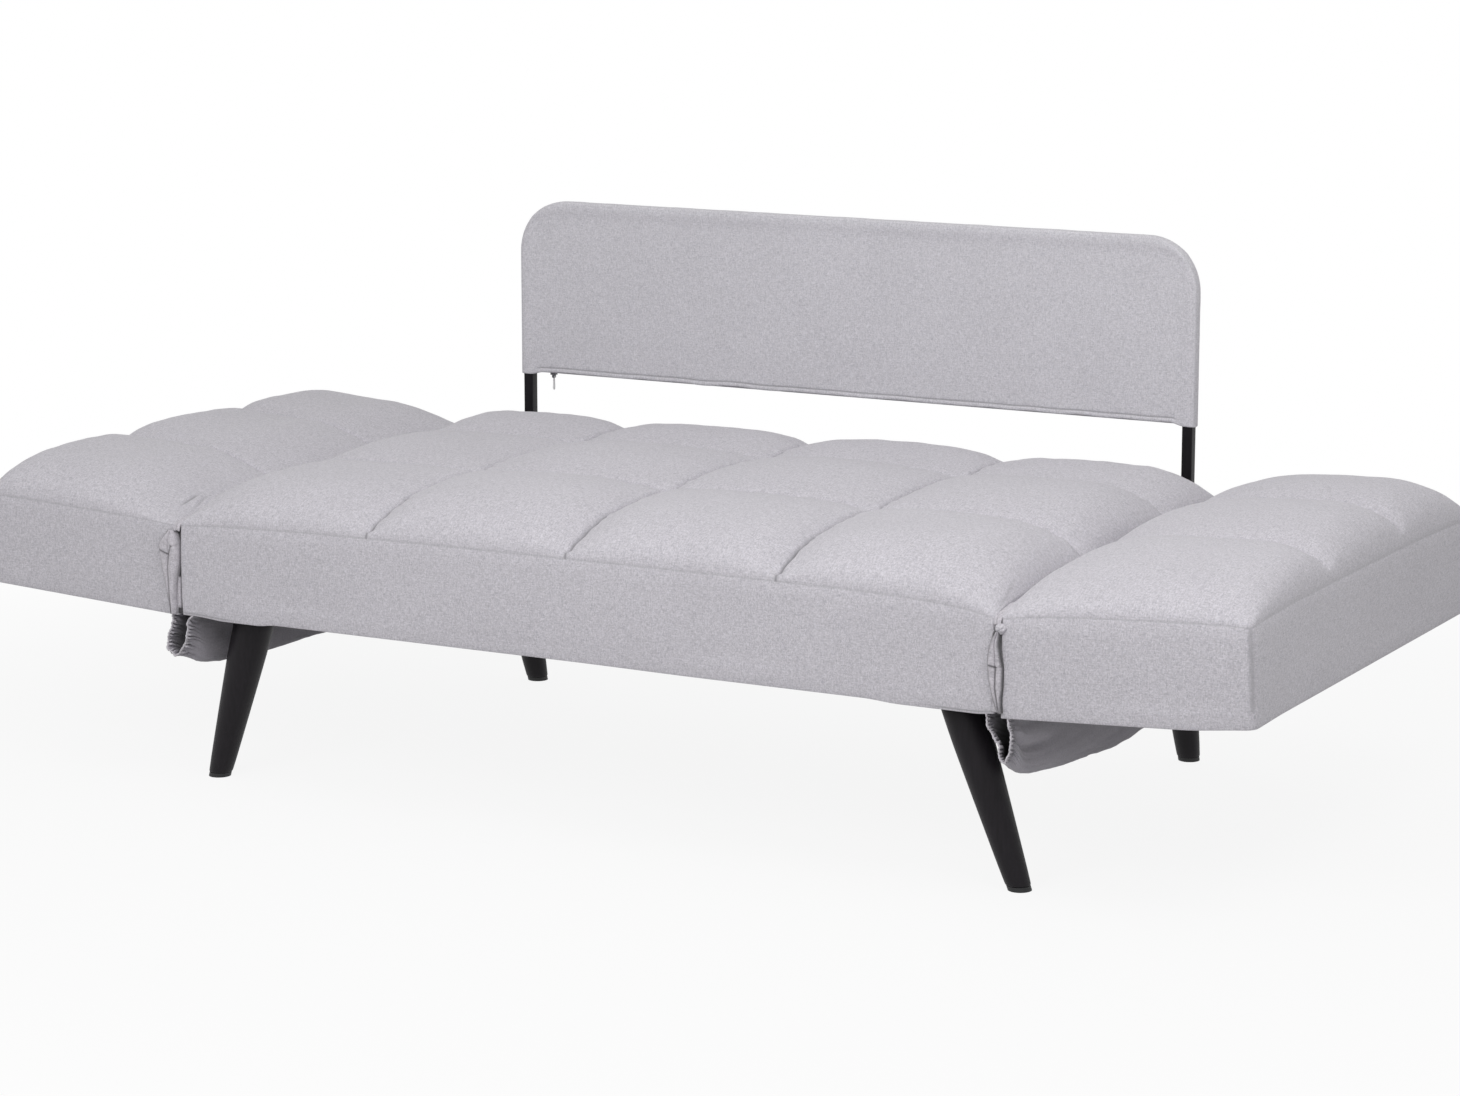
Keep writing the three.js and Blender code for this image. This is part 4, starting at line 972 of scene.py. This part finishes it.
# (height, outer fold edge e, inner crease c, inner edge o), outward from the hinge line
LEFT_LEAF = [
    (0.3510, 0.0125, 0.0080, 0.0060), (0.3440, 0.0175, 0.0095, 0.0005), (0.3350, 0.0240, 0.0098, -0.0020),
    (0.3264, 0.0273, 0.0098, -0.0026), (0.3190, 0.0262, 0.0094, -0.0028), (0.3064, 0.0240, 0.0118, -0.0022),
    (0.2970, 0.0220, 0.0118, -0.0006), (0.2850, 0.0196, 0.0115, 0.0024), (0.2690, 0.0162, 0.0106, 0.0040),
    (0.2570, 0.0140, 0.0102, 0.0044), (0.2440, 0.0105, 0.0080, 0.0040), (0.2385, 0.0100, 0.0076, 0.0040),
]
RIGHT_LEAF = [
    (0.3370, -0.0010, 0.0020, 0.0042), (0.3300, -0.0046, 0.0004, 0.0043), (0.3220, -0.0072, -0.0004, 0.0042),
    (0.3110, -0.0100, 0.0006, 0.0062), (0.2963, -0.0109, 0.0010, 0.0090), (0.2818, -0.0102, 0.0004, 0.0092),
    (0.2675, -0.0069, 0.0004, 0.0086), (0.2557, -0.0033, 0.0026, 0.0072), (0.2440, 0.0010, 0.0050, 0.0078),
    (0.2385, 0.0040, 0.0062, 0.0084),
]


def leaf_section(e, c, o, lift, shown, way):
    """A leaf's section at one height, as (outward from the hinge line, behind the front)"""
    return [
        (way * 0.0036, 0.0120), (way * 0.0037, 0.0040), (way * 0.0060, -0.0012),
        (0.45 * e + 0.55 * way * 0.006, -0.0030), (e - way * 0.0015, -0.0034), (e, -0.0034 - 0.5 * lift),
        (e - way * 0.0014, -0.0036 - lift), (0.6 * e + 0.4 * c, -0.0046 - lift),
        (c + way * 0.0014, -0.0038 - 0.9 * lift), (c + way * 0.0002, -0.0026 - 0.35 * lift),
        (c - way * 0.0008, -0.0044 - 1.15 * lift), (0.5 * (c + o), -0.0052 - 1.2 * lift),
        (o + way * 0.0014, -0.0042 - lift), (o, -0.0026 - 0.4 * lift), (o + way * 0.0006, 0.0010),
        (o - way * 0.0014, 0.0036 - 0.0040 * shown), (min(o, 0) - way * 0.0012, 0.0040 - 0.0050 * shown),
        (-way * 0.0034, 0.0070), (-way * 0.0035, 0.0140),
    ]


def make_leaf(side, name, rows, way, tuck, far_line, strip=None):
    """Pleated cloth between seat and arm: it comes out of the gap, lies folded on one of
    the two fronts (way is 1 for the arm's), and goes back into the gap on the other side.
    tuck is the lower edge of a flap at the top, and strip is where the ply that goes back
    shows in the gap."""
    rows = np.array(rows)
    zs = np.linspace(rows[0, 0], rows[-1, 0], 112)
    kernel = np.hanning(13) / np.hanning(13).sum()
    edges = []
    for k in (1, 2, 3):
        v = np.interp(-zs, -rows[:, 0], rows[:, k])
        edges.append(np.convolve(np.concatenate([[v[0]] * 6, v, [v[-1]] * 6]), kernel, "valid"))
    lift = 0.0036 * smoothstep((zs[0] - zs) / 0.012) + 0.0006
    shown = np.zeros(len(zs))
    if strip:
        shown = smoothstep((strip[0] - zs) / 0.008) * smoothstep((zs - strip[1]) / 0.006)
    share = np.linspace(0, 1, LEAF_COLUMNS)
    surface = np.array([along(leaf_section(*values, way), share, 4) for values in zip(*edges, lift, shown)])
    e, c, o = (v[:, None] for v in edges)
    gx, gz = surface[:, :, 0], np.repeat(zs[:, None], LEAF_COLUMNS, 1)
    proud = surface[:, :, 1] < -0.0024
    xs, cuts = zip(*sorted((way * x, z) for x, z in tuck))
    cut = np.interp(way * gx, xs, cuts)
    above = smoothstep((gz - cut) / 0.0014 + 0.5)
    surface[:, :, 1] -= 0.0019 * above * proud
    within = (way * gx > xs[0] - 0.001) & (way * gx < xs[-1] + 0.001)
    # painted shade: a dark line under the flap's lower edge, contact shadows along the fold edges and the
    # inner edge (as strong as far_line), and the shade inside the gap
    painted_shade = 0.80 * bell(gz - cut + 0.0008, 0.0016) * within * proud
    for shade in (
        bell(gx - e - way * 0.0004, 0.0024) * (share < 0.4),
        bell(gx - c, 0.0013) * (1 - above) * (share < 0.75),
        far_line * bell(gx - o, 0.0016) * (share > 0.5),
        0.95 * smoothstep((surface[:, :, 1] - 0.0004) / 0.0022) * (share > 0.5),
    ):
        painted_shade = np.maximum(painted_shade, shade)
    surface[:, :, 1] += 0.0004 * wander(gx, gz, seed=81 + side, size=0.02)
    full = np.stack([side * (HINGE_X + gx), FRONT_Y + surface[:, :, 1], gz], -1)
    obj = thick_sheet(f"{name}_leaf", full, 0.0009, [FOLDS], painted_shade)
    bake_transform(obj)


def make_knot():
    """The knotted end of the drawn-in seam at the front of the right joint"""
    bm = bmesh.new()
    bmesh.ops.create_icosphere(bm, subdivisions=5, radius=1.0)
    bm.verts.index_update()
    points = []
    for v in bm.verts:
        x, y, z = v.co
        turn = math.atan2(z, x)
        ridge = 0.07 * math.sin(3 * turn + 2.2 * y) + 0.05 * math.sin(5 * turn - 3.0 * y + 1.0)
        k = (1 + ridge) * (1 - 0.30 * math.exp(-((z + 0.85) / 0.35) ** 2))
        at = Vector((0.0068 * x * k, 0.0048 * y * k, 0.0066 * z * (1 + 0.5 * ridge)))
        points.append(at + Vector((0.6050, FRONT_Y - 0.0040, 0.3405)))
    faces = [[v.index for v in face.verts] for face in bm.faces]
    bm.free()
    obj = make_mesh("right_knot", points, faces, [COVER])
    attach(obj, "right_arm")


for side, name in SIDES:
    make_valley(side, name)
    for half in ("seat", "arm"):
        make_loop_half(side, name, half)
make_leaf(-1, "left", LEFT_LEAF, 1, ((0.0273, 0.3262), (0.0094, 0.3195), (0.0046, 0.3320)), 0.1,
          (0.291, 0.243))
make_leaf(1, "right", RIGHT_LEAF, -1, ((-0.0109, 0.2975), (0.0010, 0.2950), (0.0022, 0.2958)), 1.0)
make_knot()


# Backrest
def make_hoop():
    """The bent square tube, from the left foot over the top to the right foot"""
    bend, steps, bottom = HOOP_BEND, 14, UNDERSIDE + 0.0045
    line = [(-HOOP_HALF, bottom)]
    for centre_x, start in ((bend - HOOP_HALF, math.pi), (HOOP_HALF - bend, math.pi / 2)):
        for k in range(steps + 1):
            a = start - k * math.pi / 2 / steps
            line.append((centre_x + bend * math.cos(a), HOOP_TOP - bend + bend * math.sin(a)))
    line.append((HOOP_HALF, bottom))
    tangents = np.gradient(np.array(line), axis=0)
    tangents /= np.linalg.norm(tangents, axis=1, keepdims=True)
    r = 0.0019  # of the tube's own edges
    flat = TUBE_HALF - r
    section = []
    for start, sx, sy in ((0, 1, 1), (90, -1, 1), (180, -1, -1), (270, 1, -1)):
        for k in range(4):
            a = math.radians(start + 30 * k)
            section.append((sx * flat + r * math.cos(a), sy * flat + r * math.sin(a)))
    points = []
    for (x, z), (along_x, along_z) in zip(line, tangents):
        points += [(x - along_z * a, TUBE_Y + b, z + along_x * a) for a, b in section]
    rows, columns = len(line), len(section)
    faces = grid_faces(rows, columns, closed_columns=True)
    faces += [range(columns), range((rows - 1) * columns, rows * columns)]
    obj = make_mesh("hoop_tube", points, faces, [BLACK_STEEL])
    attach(obj, "base")
    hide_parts("backrest_hoop")


def bridge(points, faces, start, rows, end):
    """Adds faces from the point numbers in start, over new rows of points, to those in end"""
    for row in rows:
        count = sum(len(part) for part in points)
        now = np.arange(count, count + len(row))
        points.append(row)
        faces += band_faces(start, now)
        start = now
    faces += band_faces(start, end)


SLEEVE_MARGIN = 0.010  # from the middle of the tube to the sleeve's edge
RIM_LINES = (0, 0.0005, 0.0012, 0.0022, 0.0034, 0.0052, 0.0075, 0.0100, 0.0130, 0.0165, 0.0210, 0.0270,
             0.0340)
HEM_LINES = (0, 0.0006, 0.0016, 0.0030, 0.0044, 0.0056, 0.0066, 0.0076, 0.0088, 0.0110, 0.0150, 0.0210,
             0.0290)
ZIP_END = 0.512
HEM_STITCH = 0.0066  # height of the hem's stitched line
HEM_RADIUS = 0.0016
SLOT = ((-0.0054, 0), (-0.0053, 0.0046), (0, 0.0046), (0.0053, 0.0046), (0.0054, 0))


def sleeve_depth(gx, gz, d):
    """Half of the sleeve's thickness: boxy at the rim, sunk between, drawn in at the hem.
    The second value is the shade painted in its stitched lines and in a faint line beside its rim."""
    away, up = np.abs(gx), gz - HEM_Z
    at_zip = smoothstep((ZIP_END - away) / 0.006)
    roll = 1 - np.minimum(d, 0.0080) / 0.0080
    near = 0.0036 * (1 - np.sqrt(np.maximum(0, 1 - roll ** 2)))
    turned = HEM_RADIUS - np.minimum(up, HEM_RADIUS)
    under = np.maximum(0, HEM_RADIUS - np.sqrt(np.maximum(0, HEM_RADIUS ** 2 - turned ** 2)))
    depth = 0.0106 - near - under - 0.0017 * smoothstep((d - 0.0105) / 0.0125)
    depth -= 0.0013 * bell(up - HEM_STITCH, 0.0010) * at_zip
    depth += 0.0006 * bell(up - 0.0034, 0.0024) * at_zip
    depth += 0.0005 * wander(gx, gz, seed=31, size=0.17) * smoothstep(d / 0.05) * smoothstep(up / 0.02)
    depth += 0.0004 * wander(gx, seed=33, size=0.035) * fade(up, 0.022) * at_zip
    depth += 0.0005 * bell(away - HOOP_HALF, 0.008) * fade(up, 0.030)
    stitch_shade = 0.75 * bell(up - HEM_STITCH, 0.0009) * at_zip
    return depth, np.maximum(stitch_shade, 0.10 * bell(d - 0.0032, 0.0010))


def make_sleeve():
    """The cloth sleeve over the tubes, with the zip's slot under its hem and cuffs where
    the tubes go in"""
    half, top, r = (size + SLEEVE_MARGIN for size in (HOOP_HALF, HOOP_TOP, HOOP_BEND))
    inset, hem = np.array(RIM_LINES), np.array(HEM_LINES)
    middle = np.linspace(-half + 0.042, half - 0.042, 116)
    xs = np.concatenate([-half + inset, middle, (half - inset)[::-1]])
    middle = np.linspace(HEM_Z + 0.038, top - 0.042, 24)
    zs = np.concatenate([HEM_Z + hem, middle, (top - inset)[::-1]])
    gx, gz = np.meshgrid(xs, zs, indexing="ij")
    depth, painted_shade = sleeve_depth(gx, gz, np.minimum(half - np.abs(gx), top - gz))
    a, b = (np.abs(gx) - (half - r)) / r, (gz - (top - r)) / r
    corner = (a > 0) & (b > 0)
    a, b = np.clip(a, 0, 1), np.clip(b, 0, 1)
    x = np.where(corner, np.sign(gx) * (half - r + r * a * np.sqrt(1 - b * b / 2)), gx)
    z = np.where(corner, top - r + r * b * np.sqrt(1 - a * a / 2), gz)
    up = gz - HEM_Z
    z = z - 0.0042 * smoothstep((np.abs(gx) - 0.500) / 0.020) * fade(up, 0.030)  # the cuffs
    z = z + 0.0007 * wander(gx, seed=30, size=0.09) * fade(up, 0.02)
    nx, nz = gx.shape
    count = nx * nz
    front, back = (np.stack([x, TUBE_Y + way * depth, z], -1) for way in (-1, 1))
    points = [front.reshape(-1, 3), back.reshape(-1, 3)]
    faces = grid_faces(nx, nz) + grid_faces(nx, nz, first=count)

    rim = [(0, j) for j in range(nz)] + [(i, nz - 1) for i in range(1, nx)]
    rim += [(nx - 1, j) for j in range(nz - 2, -1, -1)]
    at = np.array([i * nz + j for i, j in rim])
    edge = points[0][at]
    edge_x, edge_z = edge[:, 0], edge[:, 2]
    out = np.stack([edge_x - np.clip(edge_x, -half + r, half - r), edge_z - np.clip(edge_z, -1, top - r)], 1)
    out /= np.maximum(np.linalg.norm(out, axis=1, keepdims=True), 1e-9)
    over = []
    for share in (0.06, 0.16, 0.3, 0.5, 0.7, 0.84, 0.94):
        ring = edge.copy()
        ring[:, 1] = TUBE_Y + (2 * share - 1) * (TUBE_Y - edge[:, 1])
        bulge = 0.0006 * math.sin(math.pi * share) + 0.0003 * wander(edge_x, edge_z, seed=36, size=0.06)
        ring[:, [0, 2]] += out * bulge[:, None]
        over.append(ring)
    below = []
    for y, rise in SLOT:
        row = front[:, 0].copy()
        row[:, 1] = TUBE_Y + y
        row[:, 2] += rise * smoothstep((ZIP_END - np.abs(row[:, 0])) / 0.003)
        below.append(row)
    hem_line = np.arange(nx) * nz
    bridge(points, faces, at, over, at + count)
    bridge(points, faces, hem_line, below, hem_line + count)
    points = np.concatenate(points)
    painted_shade = np.concatenate([painted_shade.ravel(), painted_shade.ravel(), np.zeros(len(points) - 2 * count)])
    obj = make_mesh("backrest_cover", points, faces, [SLEEVE], painted_shade=painted_shade)
    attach(obj, "base")
    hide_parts("backrest_sleeve")


make_hoop()
make_sleeve()


# Legs
LEG_SIDES = 56


def make_leg(name, foot, top):
    """A turned, tapered leg that leans from its foot to its top, with level ends"""
    height = LEG_TOP_Z - LEG_FOOT_Z
    profile = [(0.0, 0.0), (0.0146, 0.0), (0.0156, 0.0009), (0.0160, 0.0024)]
    for k in range(1, 13):
        t = k / 12
        belly = 0.0003 * math.sin(math.pi * t)
        shoulder = 0.0022 * smoothstep((t - 0.72) / 0.40)
        profile.append((0.0163 + 0.0130 * t + belly - shoulder, 0.0024 + t * (height - 0.0034)))
    profile += [(0.0262, height), (0.0, height)]
    lean_x, lean_y = (top[0] - foot[0]) / LEG_TOP_Z, (top[1] - foot[1]) / LEG_TOP_Z
    points = []
    for radius, up in profile:
        z = LEG_FOOT_Z + up
        for k in range(LEG_SIDES):
            a = 2 * math.pi * k / LEG_SIDES
            points.append((foot[0] + lean_x * z + radius * math.cos(a),
                           foot[1] + lean_y * z + radius * math.sin(a), z))
    faces = grid_faces(len(profile), LEG_SIDES, closed_columns=True)
    obj = make_mesh(f"{name}_turned", points, faces, [BLACK_WOOD])

    def weld(bm):
        bmesh.ops.remove_doubles(bm, verts=bm.verts, dist=1e-6)
        face_outwards(bm)

    edit_mesh(obj.data, weld)
    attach(obj, "base")
    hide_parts(name)


for side, name in SIDES:
    for end, foot, top in (("front", FRONT_FOOT, FRONT_LEG_TOP), ("rear", REAR_FOOT, REAR_LEG_TOP)):
        make_leg(f"{name}_{end}_leg", (side * foot[0], foot[1]), (side * top[0], top[1]))


# Camera, light and floor
PHOTO_WIDTH = 1460
CAMERA_TURN = [math.radians(angle) for angle in (27.4, 10.41, 0.26)]  # yaw, pitch and roll
CAMERA_LENS, CAMERA_FILM = 94.55, 36.0
CAMERA_AIM, CAMERA_DISTANCE = Vector((0.16872, 0.0, 0.3642)), 5.0863
CAMERA_SHIFT = (-101.18, -24.9)  # of the picture's middle, in pixels of the photo
LIGHT_AIM, LIGHT_SIZE = (0.1, 0, 0.35), (1.5, 1.1)
WORLD_STRENGTH = 0.55
WHITE = (1, 1, 1, 1)


def make_camera():
    yaw, pitch, roll = CAMERA_TURN
    back = Vector((math.sin(yaw) * math.cos(pitch), -math.cos(yaw) * math.cos(pitch), math.sin(pitch)))
    right = (-back).cross(Vector((0, 0, 1))).normalized()
    up = right.cross(-back)
    r = math.cos(roll) * right + math.sin(roll) * up
    u = -math.sin(roll) * right + math.cos(roll) * up
    data = bpy.data.cameras.new("camera")
    data.sensor_width, data.lens = CAMERA_FILM, CAMERA_LENS
    data.shift_x, data.shift_y = (shift / PHOTO_WIDTH for shift in CAMERA_SHIFT)
    camera = bpy.data.objects.new("camera", data)
    SCENE.collection.objects.link(camera)
    place = CAMERA_AIM + back * CAMERA_DISTANCE
    camera.matrix_world = Matrix((
        (r.x, u.x, back.x, place.x), (r.y, u.y, back.y, place.y),
        (r.z, u.z, back.z, place.z), (0, 0, 0, 1)))
    SCENE.camera = camera


def background_rays(n):
    """1 for rays that show the background: seen straight, mirrored or through glass"""
    path = n.add("ShaderNodeLightPath").outputs
    mirrored = n.math("MAXIMUM", path["Is Glossy Ray"], path["Is Transmission Ray"])
    return n.math("MAXIMUM", path["Is Camera Ray"], mirrored)


def mix_shaders(n, factor, first, second, output):
    mix = n.add("ShaderNodeMixShader", {0: factor, 1: first.outputs[0], 2: second.outputs[0]})
    n.tree.links.new(mix.outputs[0], output.inputs[0])


def make_world():
    SCENE.world = bpy.data.worlds.new("studio")
    n = Nodes(SCENE.world)
    n.tree.nodes.clear()
    soft = n.add("ShaderNodeBackground", {"Color": WHITE, "Strength": WORLD_STRENGTH})
    white = n.add("ShaderNodeBackground", {"Color": WHITE, "Strength": 1.0})
    mix_shaders(n, background_rays(n), soft, white, n.add("ShaderNodeOutputWorld"))


def make_light(name, place, energy):
    data = bpy.data.lights.new(name, "AREA")
    data.shape = "RECTANGLE"
    data.size, data.size_y = LIGHT_SIZE
    data.energy = energy
    lamp = bpy.data.objects.new(name, data)
    lamp.location = place
    lamp.rotation_euler = (Vector(LIGHT_AIM) - Vector(place)).to_track_quat("-Z", "Y").to_euler()
    SCENE.collection.objects.link(lamp)


def make_floor():
    """A white floor that keeps the object's shadow and fades into the white background"""
    n = Nodes(bpy.data.materials.new("floor"))
    where = n.add("ShaderNodeTexCoord").outputs["Object"]
    distance = n.add("ShaderNodeVectorMath", {0: where}, operation="LENGTH").outputs["Value"]
    reach = {"Value": distance, "From Min": 1.1, "From Max": 2.4, "To Min": 0.90, "To Max": 1.0}
    far = n.add("ShaderNodeMapRange", reach, interpolation_type="SMOOTHSTEP").outputs[0]
    glow = n.add("ShaderNodeEmission", {"Color": WHITE, "Strength": 1.0})
    shown = n.math("MULTIPLY", background_rays(n), far)
    mix_shaders(n, shown, n.shader, glow, n.tree.nodes["Material Output"])
    material = n.finish(Base_Color=(0.60, 0.60, 0.60, 1), Roughness=1.0, Specular_IOR_Level=0.0)
    corners = [(-9, -9, 0), (9, -9, 0), (9, 14, 0), (-9, 14, 0)]
    make_mesh("floor", corners, [(0, 1, 2, 3)], [material], smooth=False)


make_camera()
make_world()
make_light("key", (0.0, -2.6, 2.0), 32)
make_light("side", (1.7, -1.0, 2.4), 23)
make_floor()
SCENE.view_settings.view_transform = "Standard"
